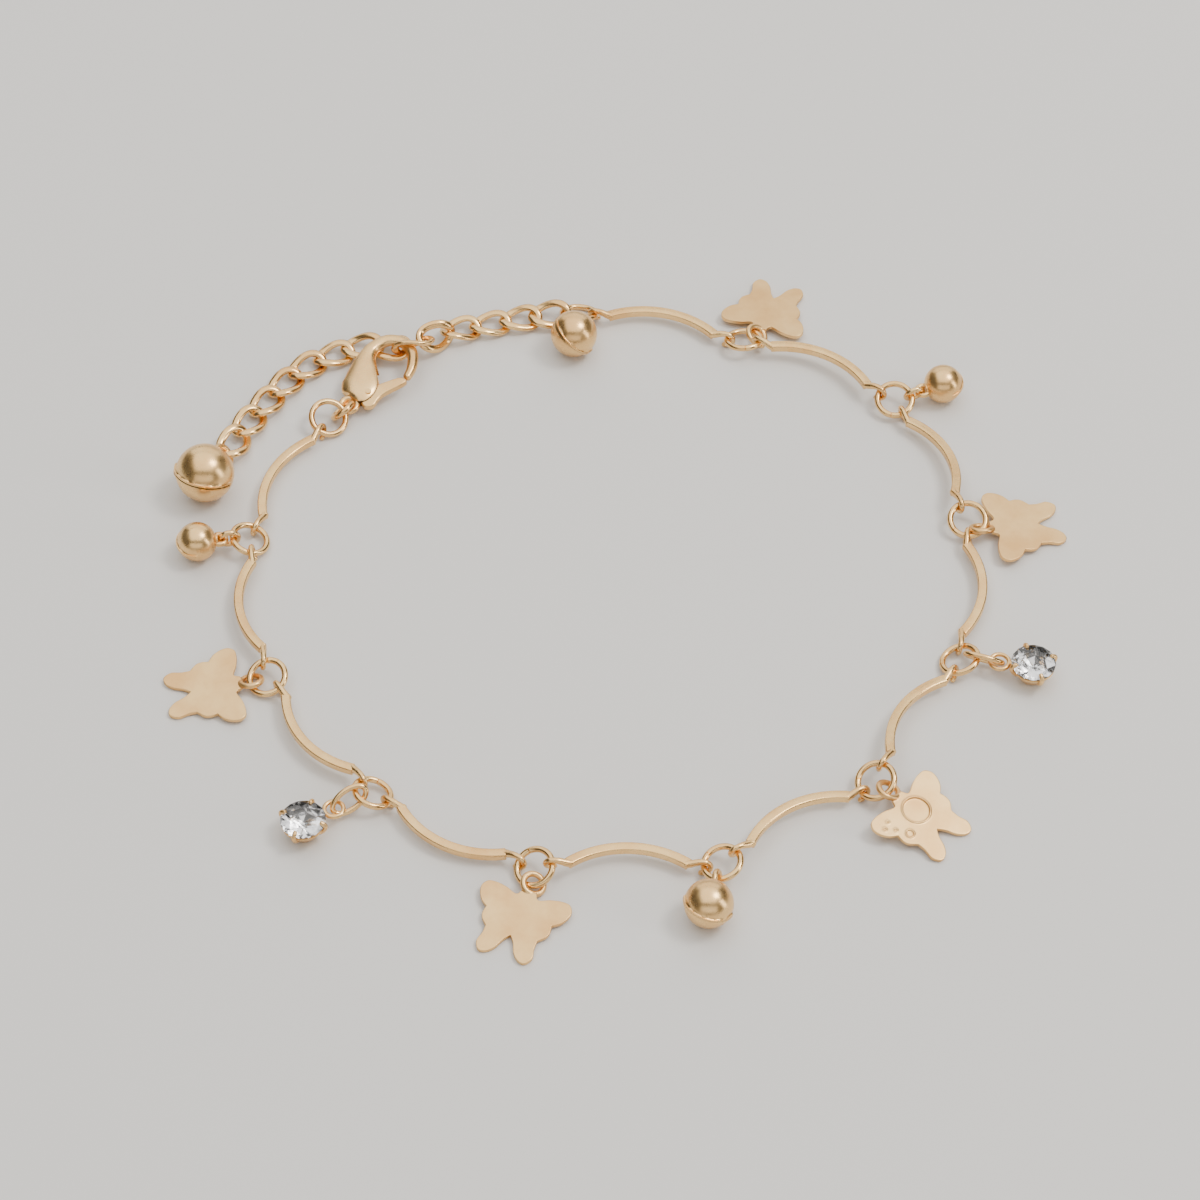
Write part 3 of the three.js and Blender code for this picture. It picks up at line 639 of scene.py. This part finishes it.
def wire_through(name, line, radii, sides=16, closed=False, flat=None):
    """Wire along a line: rounds set across it, bridged one to the next.

    flat gives each round's share of its thickness that is left upwards, for a pressed wire.
    """
    end_rounding = 0.55
    piece = begin_empty(name)
    count = len(line)
    for i, point in enumerate(line):
        before = line[i - 1] if closed or i else line[0]
        after = line[(i + 1) % count] if closed or i < count - 1 else line[-1]
        turn = (after - before).to_track_quat("Z", "Y").to_euler()
        bpy.ops.mesh.primitive_circle_add(
            vertices=sides, radius=radii[i], location=point, rotation=turn
        )
        if flat:
            bpy.ops.transform.resize(value=(1, 1, flat[i]), center_override=point)
    bpy.ops.mesh.select_all(action="SELECT")
    bpy.ops.mesh.bridge_edge_loops(type="CLOSED" if closed else "SINGLE")
    if not closed:
        bpy.ops.mesh.select_all(action="SELECT")
        bpy.ops.mesh.fill_holes(sides=0)
        pick(piece, "FACE", lambda face: len(face.verts) == sides)
        bpy.ops.mesh.bevel(offset=end_rounding * min(radii), segments=3)
    face_out()
    done()
    return soften(piece)


def cut_sheet(name, points, low, high):
    """A sheet sawn to a closed outline, from one height to another."""
    piece = begin(name, bpy.ops.mesh.primitive_circle_add, vertices=len(points),
                  fill_type="NGON", at=(0, 0, low))
    for vertex, point in zip(piece.data.vertices, points):
        vertex.co = (point.x, point.y, low)
    edit(piece)
    move = dict(value=(0, 0, high - low))
    bpy.ops.mesh.extrude_region_move(TRANSFORM_OT_translate=move)
    face_out()
    done()
    return piece


def flat_points(rows):
    """The points of an outline, at height 0."""
    return [Vector((row["x"], row["y"], 0)) for row in rows]


# ---- Pieces, each modelled once ----
def ring_of_wire(name, radius, thickness):
    """A round of wire with the fine seam where its ends meet."""
    def in_seam(vert):
        return abs(vert.co.y) < TOUCHING and vert.co.x > 0

    ring = begin(name, bpy.ops.mesh.primitive_torus_add, major_segments=72,
                 minor_segments=18, major_radius=radius, minor_radius=thickness / 2)
    edit(ring)
    pick(ring, "EDGE", lambda edge: all(in_seam(vert) for vert in edge.verts))
    bpy.ops.mesh.bevel(offset=SEAM_WIDTH, segments=2)
    pick(ring, "VERT", in_seam)
    bpy.ops.transform.resize(value=(SEAM_WAIST,) * 3, center_override=(radius, 0, 0))
    done()
    ring.data.transform(Matrix.Rotation(radians(SEAM_AT), 4, "Z"))
    return soften(ring)


def oval_link(name, half_length, half_width, twist, thickness, flatness=1.0):
    """A closed link whose long sides rise and fall by the twist."""
    rounds = 44
    line = []
    for i in range(rounds):
        t = 2 * pi * i / rounds
        line.append(Vector((half_length * cos(t), half_width * sin(t), twist * sin(2 * t))))
    return wire_through(name, line, [thickness / 2] * rounds, closed=True,
                        flat=[flatness] * rounds)


def bar_curl():
    """The tongue of a bar: over the ring's wire, round it and back beside itself."""
    line = [Vector((BAR_CHORD / 2 + row["x"], row["y"], row["z"])) for row in TONGUE]
    radii = [row["r"] for row in TONGUE]
    for step in range(CURL["steps"]):
        turn = radians(90 - CURL["turn"] * step)
        line.append(Vector((
            BAR_REACH / 2 + CURL_RADIUS * cos(turn),
            -CURL["aside"] - CURL["aside_step"] * step,
            CURL_RADIUS * sin(turn),
        )))
        radii.append(CURL["r"] - CURL["r_step"] * step)
    smooth = curve_through(line, 2)
    return wire_through("curl", smooth, [radii[i // 2] for i in range(len(smooth))])


def bar(side):
    """A bar that bows to one side: its section spun to one end and mirrored, and two curls."""
    arc = (BAR_CHORD ** 2 / 4 + BAR_SAGITTA ** 2) / (2 * BAR_SAGITTA)
    half_angle = asin(BAR_CHORD / 2 / arc)
    crown = side * arc * (1 - cos(half_angle))
    section = begin("bar", bpy.ops.mesh.primitive_plane_add, size=1,
                    at=(0, crown, BAR_RISE), turn=(0, pi / 2, 0),
                    scale=(BAR_HEIGHT, BAR_WIDTH, 1))
    edit(section)
    bpy.ops.mesh.bevel(offset=BAR_BROKEN_EDGE, segments=4, affect="VERTICES")
    bpy.ops.mesh.delete(type="ONLY_FACE")
    bpy.ops.mesh.select_all(action="SELECT")
    bpy.ops.mesh.spin(steps=26, angle=side * half_angle,
                      center=(0, crown - side * arc, BAR_RISE), axis=(0, 0, 1))
    pick(section, "EDGE", lambda edge: edge.is_boundary and edge.verts[0].co.x > 1)
    bpy.ops.mesh.edge_face_add()
    pick(section, "FACE", lambda face: len(face.verts) > 4)
    bpy.ops.mesh.bevel(offset=BAR_BROKEN_END, segments=3)
    face_out()
    done()
    apply(section, "other half", "MIRROR", use_axis=(True, False, False),
          merge_threshold=TOUCHING)
    curl = bar_curl()
    other = duplicate(curl)
    other.data.transform(Matrix.Rotation(pi, 4, "Z"))
    return soften(solder("bar", section, curl, other))


def butterfly(twist):
    """A stamped plate with its eye at the origin and its wings along +X, face up.

    twist is the angle by which the eye stands up out of the plate.
    """
    half = []
    for rows in HALF_BUTTERFLY.values():
        half += curve_through(flat_points(rows), 6)[:-1]
    notch = flat_points(HALF_BUTTERFLY["lower_wing"])[-1]
    mirrored = [Vector((-p.x, p.y, 0)) for p in reversed(half)]
    plate = cut_sheet("butterfly", half + [notch] + mirrored, -PLATE / 2, PLATE / 2)
    add_round = bpy.ops.mesh.primitive_cylinder_add
    turn = (0, radians(twist), 0)
    parts = [plate]
    for row in BUTTERFLY_RELIEF:
        place = (row["x"], row["y"], PLATE / 2)
        cut(plate, begin("recess", add_round, vertices=64, radius=row["r"],
                         depth=2 * row["deep"], at=place))
        parts.append(begin("rim", bpy.ops.mesh.primitive_torus_add, at=place,
                           major_segments=64, minor_segments=12, major_radius=row["r"],
                           minor_radius=row["rim"]))
    bore = begin("bore", add_round, vertices=48, radius=BUTTERFLY_EYE_RADIUS - EYE_WIRE / 2,
                 depth=3, turn=turn)
    cut(plate, bore)
    parts.append(begin("eye", bpy.ops.mesh.primitive_torus_add, turn=turn, major_segments=64,
                       minor_segments=18, major_radius=BUTTERFLY_EYE_RADIUS,
                       minor_radius=BUTTERFLY_EYE_WIRE / 2))
    charm = cast(solder("butterfly", *parts), BUTTERFLY_GRAIN, 3)
    charm.data.transform(Matrix.Rotation(pi / 2, 4, "Z"))
    return soften(charm, 60)


def bell(row):
    """A hollow ball with a lipped slot round its -X side and a collared eye at +X."""
    radius, eye, reach = row["radius"], row["eye"], row["reach"]
    slot = radius * BELL_SLOT
    ball = begin("bell", bpy.ops.mesh.primitive_uv_sphere_add, segments=72, ring_count=44,
                 radius=radius, turn=(0, pi / 2, 0))
    edit(ball)
    for side in (slot, -slot, BELL_LIP * slot, -BELL_LIP * slot):
        pick(ball, "FACE", lambda face: face.calc_center_median().x < -BELL_LINES_END * radius)
        bpy.ops.mesh.bisect(plane_co=(0, side, 0), plane_no=(0, 1, 0))

    def in_slot(face):
        middle = face.calc_center_median()
        return middle.x < -BELL_SLOT_END * radius and abs(middle.y) < slot

    pick(ball, "FACE", in_slot)
    bpy.ops.mesh.delete(type="FACE")
    pick(ball, "EDGE", lambda edge: edge.is_boundary)
    bpy.ops.transform.resize(value=(BELL_LIP_RISE, 1.0, BELL_LIP_RISE),
                             center_override=(0, 0, 0))
    bpy.ops.mesh.extrude_region_move()
    bpy.ops.transform.resize(value=(BELL_LIP_ROLL, 1.0, BELL_LIP_ROLL),
                             center_override=(0, 0, 0))
    done()
    apply(ball, "wall", "SOLIDIFY", thickness=BELL_WALL, offset=-1, use_even_offset=True)
    ball.data.transform(Matrix.Rotation(radians(row["slot"]), 4, "X"))
    loop = begin("eye", bpy.ops.mesh.primitive_torus_add, at=(reach - eye, 0, 0),
                 major_segments=56, minor_segments=16, major_radius=eye,
                 minor_radius=DRESSED_EYE_WIRE / 2)
    gap = reach - 2 * eye - radius
    stem = begin("stem", bpy.ops.mesh.primitive_cone_add, vertices=32, radius1=STEM_WIDE,
                 radius2=STEM_NARROW, depth=gap + STEM_SUNK,
                 at=(radius + gap / 2 - STEM_BACK, 0, 0), turn=(0, pi / 2, 0))
    edit(stem)
    pick(stem, "FACE", lambda face: len(face.verts) > 4 and face.normal.x > 0.5)
    bpy.ops.mesh.bevel(offset=STEM_BROKEN_EDGE, segments=3)
    done()
    collar = begin("collar", bpy.ops.mesh.primitive_torus_add, major_segments=48,
                   minor_segments=12, major_radius=COLLAR_RADIUS,
                   minor_radius=COLLAR_WIRE / 2, at=(radius - COLLAR_SUNK, 0, 0),
                   turn=(0, pi / 2, 0))
    return soften(solder("bell", ball, soften(loop), stem, soften(collar)), 35)


def stone():
    """A round brilliant: rounds of points for its table, crown, girdle and back, hulled."""
    gem = begin_empty("stone")
    for row in STONE_ROUNDS:
        bpy.ops.mesh.primitive_circle_add(
            vertices=row["count"], radius=row["share"] * STONE_GIRDLE,
            location=(0, 0, row["z"] * STONE_RADIUS),
            rotation=(0, 0, 2 * pi * row["turn"] / row["count"]))
    bpy.ops.mesh.select_all(action="SELECT")
    bpy.ops.mesh.convex_hull()
    face_out()
    done()
    return gem


def setting(spin):
    """A cup with four claws and an eye; its flat base is at the origin, its eye at -X.

    spin turns the claws round the cup, in degrees.
    """
    cup = begin("setting", bpy.ops.mesh.primitive_cone_add, vertices=72,
                radius1=CUP_BASE_RADIUS, radius2=CUP_TOP_RADIUS, depth=CUP_HEIGHT,
                at=(0, 0, CUP_HEIGHT / 2))
    edit(cup)
    pick(cup, "FACE", lambda face: len(face.verts) > 4 and face.normal.z > 0.5)
    bpy.ops.mesh.inset(thickness=CUP_RIM)
    move = dict(value=(0, 0, CUP_FLOOR - CUP_HEIGHT))
    bpy.ops.mesh.extrude_region_move(TRANSFORM_OT_translate=move)
    bpy.ops.transform.resize(value=(CUP_FLOOR_SHARE, CUP_FLOOR_SHARE, 1),
                             center_override=(0, 0, CUP_FLOOR))
    pick(cup, "EDGE", lambda edge: all(v.co.z > CUP_HEIGHT - NEAR for v in edge.verts)
         and abs(edge.verts[0].co.length - edge.verts[1].co.length) < NEAR)
    bpy.ops.mesh.bevel(offset=CUP_BROKEN_RIM, segments=3)
    pick(cup, "EDGE", lambda edge: all(v.co.z < NEAR for v in edge.verts))
    bpy.ops.mesh.bevel(offset=CUP_BROKEN_BASE, segments=3)
    done()
    parts = [soften(cup)]
    claw_line = curve_through([Vector((row["x"], 0, row["z"])) for row in CLAW_LINE], 3)
    count = len(claw_line)
    radii = [CLAW_ROOT - CLAW_TAPER * i / count for i in range(count)]
    for degrees in CLAW_TURNS:
        claw = wire_through("claw", claw_line, radii, sides=12)
        claw.data.transform(Matrix.Rotation(radians(degrees + spin), 4, "Z"))
        parts.append(claw)
    parts.append(soften(begin(
        "eye", bpy.ops.mesh.primitive_torus_add, at=(-CUP_EYE_REACH, 0, CUP_EYE_HEIGHT),
        major_segments=64, minor_segments=18, major_radius=CUP_EYE_RADIUS,
        minor_radius=EYE_WIRE / 2)))
    stem_line = [Vector((row["x"], 0, CUP_EYE_HEIGHT)) for row in SETTING_STEM]
    parts.append(wire_through("stem", stem_line, [row["r"] for row in SETTING_STEM]))
    return solder("setting", *parts)


def clasp_body():
    """The clasp's pillowed case and hook, its lever slot and pin, and the eye at its tail."""
    steps = 6
    line = curve_through(flat_points(CLASP_LINE), steps)
    sizes = curve_through([Vector((row["r"], row["rise"])) for row in CLASP_LINE], steps)
    body = wire_through("clasp body", line, [size.x for size in sizes], sides=40,
                        flat=[size.y / size.x for size in sizes])
    cast(body, CLASP_GRAIN, 4)
    slot = cut_sheet("slot", flat_points(SLOT_OUTLINE), -SLOT_WIDTH / 2, SLOT_WIDTH / 2)
    bore = begin("bore", bpy.ops.mesh.primitive_cylinder_add, vertices=48,
                 radius=TAIL_EYE - WIRE / 2, depth=3)
    cut(cut(body, slot), bore)
    tail = begin("tail", bpy.ops.mesh.primitive_torus_add, major_segments=64,
                 minor_segments=20, major_radius=TAIL_EYE, minor_radius=DRESSED_WIRE / 2)
    pin = begin("pin", bpy.ops.mesh.primitive_cylinder_add, vertices=32, radius=PIN_RADIUS,
                depth=CLASP["thickness"] - PIN_INSET, at=(PIVOT["x"], PIVOT["y"], 0))
    return soften(solder("clasp body", body, soften(tail), pin), 50)


def clasp_lever():
    """The lever: an arm that closes on the hook's tip and a thumb tab, bored for its pin."""
    steps = 5
    rows = flat_points(LEVER_OUTLINE)
    half = LEVER_THICKNESS / 2
    looped = curve_through([rows[-1], *rows, rows[0], rows[1]], steps)
    outline = looped[steps:steps * (len(rows) + 1)]
    lever = cut_sheet("lever", outline, -half, half)
    edit(lever)
    pick(lever, "EDGE", lambda edge: abs(edge.verts[0].co.z - edge.verts[1].co.z) < TOUCHING)
    bpy.ops.mesh.bevel(offset=LEVER_BROKEN_EDGE, segments=4)
    done()
    hole = begin("hole", bpy.ops.mesh.primitive_cylinder_add, vertices=32,
                 radius=PIN_RADIUS + LEVER_PLAY, depth=3, at=(PIVOT["x"], PIVOT["y"], 0))
    return soften(cut(lever, hole), 50)


# ---- Finishes ----
# The sockets of a Mix node that carry colours.
MIX_A, MIX_B, MIX_COLOUR = 6, 7, 2


def blank(name):
    """A new material, its nodes and the shader in them."""
    made = bpy.data.materials.new(name)
    made.use_nodes = True
    return made, made.node_tree, made.node_tree.nodes["Principled BSDF"]


def on_piece(tree):
    """Coordinates that stay on the piece, in metres."""
    return tree.nodes.new("ShaderNodeTexCoord").outputs["Object"]


def group_of(name, inputs, outputs):
    """A new node group with its named sockets, and its input and output nodes."""
    tree = bpy.data.node_groups.new(name, "ShaderNodeTree")
    for label, value in inputs.items():
        kind = "NodeSocketColor" if isinstance(value, tuple) else "NodeSocketFloat"
        socket = tree.interface.new_socket(label, in_out="INPUT", socket_type=kind)
        socket.default_value = value
    for label, kind in outputs.items():
        tree.interface.new_socket(label, in_out="OUTPUT", socket_type=kind)
    return tree, tree.nodes.new("NodeGroupInput"), tree.nodes.new("NodeGroupOutput")


def node(tree, kind, **settings):
    """A new node with its settings, each one a socket's value or the node's own."""
    made = tree.nodes.new(kind)
    for key, value in settings.items():
        if key in made.inputs:
            made.inputs[key].default_value = value
        else:
            setattr(made, key, value)
    return made


def noise(tree, coordinates, scale, detail=3.0, rough=0.55):
    """Noise at a scale that is a number or comes from a socket."""
    made = node(tree, "ShaderNodeTexNoise", Detail=detail, Roughness=rough)
    tree.links.new(coordinates, made.inputs["Vector"])
    if isinstance(scale, (int, float)):
        made.inputs["Scale"].default_value = scale
    else:
        tree.links.new(scale, made.inputs["Scale"])
    return made.outputs["Fac"]


def spread(tree, value, low, high, new_low, new_high):
    """Maps a value from one range to another."""
    made = tree.nodes.new("ShaderNodeMapRange")
    tree.links.new(value, made.inputs["Value"])
    for label, end in (("From Min", low), ("From Max", high),
                       ("To Min", new_low), ("To Max", new_high)):
        made.inputs[label].default_value = end
    return made.outputs["Result"]


def plating_tone():
    """Soft patches of a lighter and a deeper plating."""
    tree, given, result = group_of(
        "plating tone",
        {"Light": (0.9, 0.8, 0.7, 1), "Deep": (0.7, 0.5, 0.35, 1), "Patches": 260.0},
        {"Color": "NodeSocketColor"},
    )
    patches = noise(tree, on_piece(tree), given.outputs["Patches"], 4.0, 0.6)
    mask = spread(tree, patches, 0.36, 0.68, 0.0, 1.0)
    mix = node(tree, "ShaderNodeMix", data_type="RGBA")
    tree.links.new(mask, mix.inputs["Factor"])
    tree.links.new(given.outputs["Light"], mix.inputs[MIX_A])
    tree.links.new(given.outputs["Deep"], mix.inputs[MIX_B])
    tree.links.new(mix.outputs[MIX_COLOUR], result.inputs["Color"])
    return tree


def handling_marks():
    """Fine scratches and dulled spots: a height, and a mask of where the polish is worn."""
    tree, given, result = group_of(
        "handling marks",
        {"Scale": 5000.0, "Stretch": 8.0},
        {"Height": "NodeSocketFloat", "Worn": "NodeSocketFloat"},
    )
    where = on_piece(tree)
    sizes = node(tree, "ShaderNodeCombineXYZ", X=1.0, Z=1.0)
    tree.links.new(given.outputs["Stretch"], sizes.inputs["Y"])
    stretch = node(tree, "ShaderNodeMapping", vector_type="TEXTURE", Rotation=(0.3, 0.2, 0.7))
    tree.links.new(where, stretch.inputs["Vector"])
    tree.links.new(sizes.outputs["Vector"], stretch.inputs["Scale"])
    lines = noise(tree, stretch.outputs["Vector"], given.outputs["Scale"], 2.0, 0.5)
    spots = noise(tree, where, 1600.0, 4.0, 0.6)
    tree.links.new(lines, result.inputs["Height"])
    tree.links.new(spread(tree, spots, 0.4, 0.75, 0.0, 1.0), result.inputs["Worn"])
    return tree


TONE = plating_tone()
MARKS = handling_marks()


def linear(channel):
    """A colour channel as it looks on a screen, from 0 to 255, made linear."""
    share = channel / 255
    return share / 12.92 if share < 0.04045 else ((share + 0.055) / 1.055) ** 2.4


def rgba(red, green, blue):
    """An opaque colour from its three channels as they look on a screen."""
    return (linear(red), linear(green), linear(blue), 1)


PALE = rgba(248, 208, 144)
WARM = rgba(232, 184, 120)


def gold(name, roughness, worn, scale, stretch, depth):
    """Champagne gold plating with its tone, polish and fine marks.

    roughness is that of whole polish and worn that of dulled spots. The marks have a scale, a
    stretch along their length and a depth in metres.
    """
    made, tree, shader = blank(name)
    shader.inputs["Metallic"].default_value = 1.0
    tone = tree.nodes.new("ShaderNodeGroup")
    tone.node_tree = TONE
    tone.inputs["Light"].default_value = PALE
    tone.inputs["Deep"].default_value = WARM
    marks = tree.nodes.new("ShaderNodeGroup")
    marks.node_tree = MARKS
    marks.inputs["Scale"].default_value = scale
    marks.inputs["Stretch"].default_value = stretch
    tree.links.new(tone.outputs["Color"], shader.inputs["Base Color"])
    polish = spread(tree, marks.outputs["Worn"], 0.0, 1.0, roughness, worn)
    tree.links.new(polish, shader.inputs["Roughness"])
    bump = node(tree, "ShaderNodeBump", Strength=1.0, Distance=depth)
    tree.links.new(marks.outputs["Height"], bump.inputs["Height"])
    tree.links.new(bump.outputs["Normal"], shader.inputs["Normal"])
    return made


def cut_crystal():
    """Clear crystal with a slight haze, for all of a stone but its silvered back."""
    made, tree, shader = blank("cut crystal")
    shader.inputs["Base Color"].default_value = (1.0, 1.0, 1.0, 1)
    shader.inputs["Transmission Weight"].default_value = 1.0
    shader.inputs["IOR"].default_value = 1.56
    haze = noise(tree, on_piece(tree), 1200.0)
    tree.links.new(spread(tree, haze, 0.4, 0.8, 0.0, 0.06), shader.inputs["Roughness"])
    return made


def silver_foil():
    """The silvering on the back of a stone."""
    made, tree, shader = blank("silver foil")
    shader.inputs["Metallic"].default_value = 1.0
    haze = noise(tree, on_piece(tree), 1500.0)
    tree.links.new(spread(tree, haze, 0.3, 0.8, 0.08, 0.16), shader.inputs["Roughness"])
    mix = node(tree, "ShaderNodeMix", data_type="RGBA")
    tree.links.new(haze, mix.inputs["Factor"])
    mix.inputs[MIX_A].default_value = (0.99, 0.99, 1.0, 1)
    mix.inputs[MIX_B].default_value = (0.95, 0.95, 0.97, 1)
    tree.links.new(mix.outputs[MIX_COLOUR], shader.inputs["Base Color"])
    return made


FINISHES = dict(
    bar_gold=gold("bar gold", roughness=0.22, worn=0.32, scale=4200.0, stretch=10.0,
                  depth=4e-6),
    wire_gold=gold("wire gold", roughness=0.18, worn=0.28, scale=5200.0, stretch=4.0,
                   depth=3e-6),
    plate_gold=gold("satin plate gold", roughness=0.34, worn=0.42, scale=7500.0, stretch=14.0,
                    depth=5e-6),
    polished_gold=gold("polished gold", roughness=0.27, worn=0.34, scale=3000.0, stretch=5.0,
                       depth=7e-7),
)
CRYSTAL = cut_crystal()
FOIL = silver_foil()


# ---- Assembly ----
def silver_the_back(piece):
    """Gives a stone its clear crystal, and foil to the faces of its back that look down."""
    piece.data.materials.append(CRYSTAL)
    piece.data.materials.append(FOIL)
    edge = min(v.co.z for v in piece.data.vertices) + FOILED_DEPTH * METRES
    for face in piece.data.polygons:
        if face.normal.z < -0.1 and face.center.z < edge:
            face.material_index = 1


def fit(piece, node_name, slot):
    """Stands a finished piece where its solid lies, and lets it stand for that solid."""
    piece.name = f"{node_name}_finished"
    piece.data.name = piece.name
    metres = Matrix.Scale(METRES, 4)
    piece.data.transform(metres @ Matrix.Translation(SHIFT) @ places[node_name])
    piece.data.materials.clear()
    if slot == "crystal":
        silver_the_back(piece)
    else:
        piece.data.materials.append(FINISHES[slot])
    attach(piece, "clasp_lever" if node_name == "clasp_lever" else "anklet")
    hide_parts(node_name)


def fit_all(model, names, slot):
    """Stands a copy of one model for each of the solids that are named."""
    for name in names:
        fit(duplicate(model), name, slot)
    bpy.data.objects.remove(model)


def numbered(stem, count, digits=0):
    """Names of solids numbered from 1, each with at least so many digits."""
    return [f"{stem}_{i:0{digits}d}" for i in range(1, count + 1)]


for bow in (1, -1):
    bowed = [f"bar_{number:02d}" for number, station in enumerate(STATIONS, 1)
             if station["bow"] == bow]
    fit_all(bar(bow), bowed, "bar_gold")
fit_all(ring_of_wire("ring", RING_RADIUS, DRESSED_WIRE),
        numbered("jump_ring", len(STATIONS), 2), "wire_gold")
fit_all(ring_of_wire("ring", BELL_LINK_RADIUS, DRESSED_EYE_WIRE), numbered("bell_link", 2),
        "wire_gold")
fit_all(ring_of_wire("ring", CLASP_RING["radius"], DRESSED_WIRE), ["clasp_ring"], "wire_gold")
fit_all(oval_link("oval", OVAL_HALF_LENGTH, OVAL_HALF_WIDTH, 0, DRESSED_EYE_WIRE),
        numbered("crystal_link", len(CRYSTALS)), "wire_gold")
fit_all(oval_link("curb", CURB_HALF_LENGTH, CURB_HALF_WIDTH, CURB_TWIST, CURB_WIRE,
                  CURB_FLATNESS), numbered("chain_link", len(CHAIN), 2), "wire_gold")
for number, twist in enumerate(twists, 1):
    fit(butterfly(twist), f"butterfly_{number}", "plate_gold")
for number, row in enumerate(BELLS, 1):
    fit(bell(row), f"bell_{number}", "polished_gold")
fit(bell(END_BELL), "end_bell", "polished_gold")
for number, row in enumerate(CRYSTALS, 1):
    fit(setting(row["spin"]), f"crystal_setting_{number}", "polished_gold")
fit_all(stone(), numbered("crystal", len(CRYSTALS)), "crystal")
fit(clasp_body(), "clasp_body", "polished_gold")
fit(clasp_lever(), "clasp_lever", "polished_gold")


# ---- Table, light and camera ----
SOFT_WHITE = (1.0, 0.98, 0.95)
WARM_WHITE = (1.0, 0.97, 0.93)
SOFTBOXES = [
    dict(name="overhead softbox", at=(0.0, 0.12, 0.95), size=(1.5, 1.6), power=13.5,
         colour=SOFT_WHITE),
    dict(name="back softbox", at=(0.0, 1.15, 0.5), size=(1.8, 0.75), power=6.0,
         colour=SOFT_WHITE),
    dict(name="key softbox", at=(0.52, 0.08, 0.84), size=(0.3, 0.3), power=4.0,
         colour=WARM_WHITE),
    dict(name="front card", at=(0.0, -1.05, 0.5), size=(1.7, 0.6), power=4.0,
         colour=SOFT_WHITE),
    dict(name="right strip", at=(0.55, -0.15, 0.2), size=(0.1, 0.4), power=0.8,
         colour=SOFT_WHITE),
]
TABLE_SIZE = 3.0
TABLE_DROP = 2e-5                  # keeps the table's top just clear of the cups' bases
TABLE_COLOUR = (0.76, 0.75, 0.73, 1)
SKY_COLOUR = (0.4, 0.38, 0.35, 1)
SKY_STRENGTH = 0.3
VIEW_HEIGHT = radians(51)
VIEW_DISTANCE = 0.3706
VIEW_AIM = Vector((-0.0004, 0.0008, 0.0007))
SENSOR_WIDTH = 36
FOCAL_LENGTH = 111.18


def table():
    top = begin("table", bpy.ops.mesh.primitive_plane_add, size=TABLE_SIZE,
                at=(0, 0, -TABLE_DROP))
    made, _, shader = blank("pale table")
    shader.inputs["Base Color"].default_value = TABLE_COLOUR
    shader.inputs["Roughness"].default_value = 0.9
    top.data.materials.append(made)


def softbox(name, at, size, power, colour):
    """A rectangle of light that faces the origin."""
    lamp = bpy.data.lights.new(name, "AREA")
    lamp.shape = "RECTANGLE"
    lamp.size, lamp.size_y = size
    lamp.energy = power
    lamp.color = colour
    box = bpy.data.objects.new(name, lamp)
    box.location = at
    box.rotation_euler = (-Vector(at)).to_track_quat("-Z", "Y").to_euler()
    bpy.context.scene.collection.objects.link(box)


table()
for row in SOFTBOXES:
    softbox(**row)

world = bpy.data.worlds.new("studio")
bpy.context.scene.world = world
world.use_nodes = True
sky = world.node_tree.nodes["Background"]
sky.inputs["Color"].default_value = SKY_COLOUR
sky.inputs["Strength"].default_value = SKY_STRENGTH

aim = SHIFT * METRES + VIEW_AIM
lens = bpy.data.cameras.new("camera")
lens.sensor_width = SENSOR_WIDTH
lens.lens = FOCAL_LENGTH
lens.clip_start, lens.clip_end = 0.01, 20
camera = bpy.data.objects.new("camera", lens)
camera.location = aim + Vector((0, -cos(VIEW_HEIGHT), sin(VIEW_HEIGHT))) * VIEW_DISTANCE
camera.rotation_euler = (pi / 2 - VIEW_HEIGHT, 0, 0)
bpy.context.scene.collection.objects.link(camera)
bpy.context.scene.camera = camera
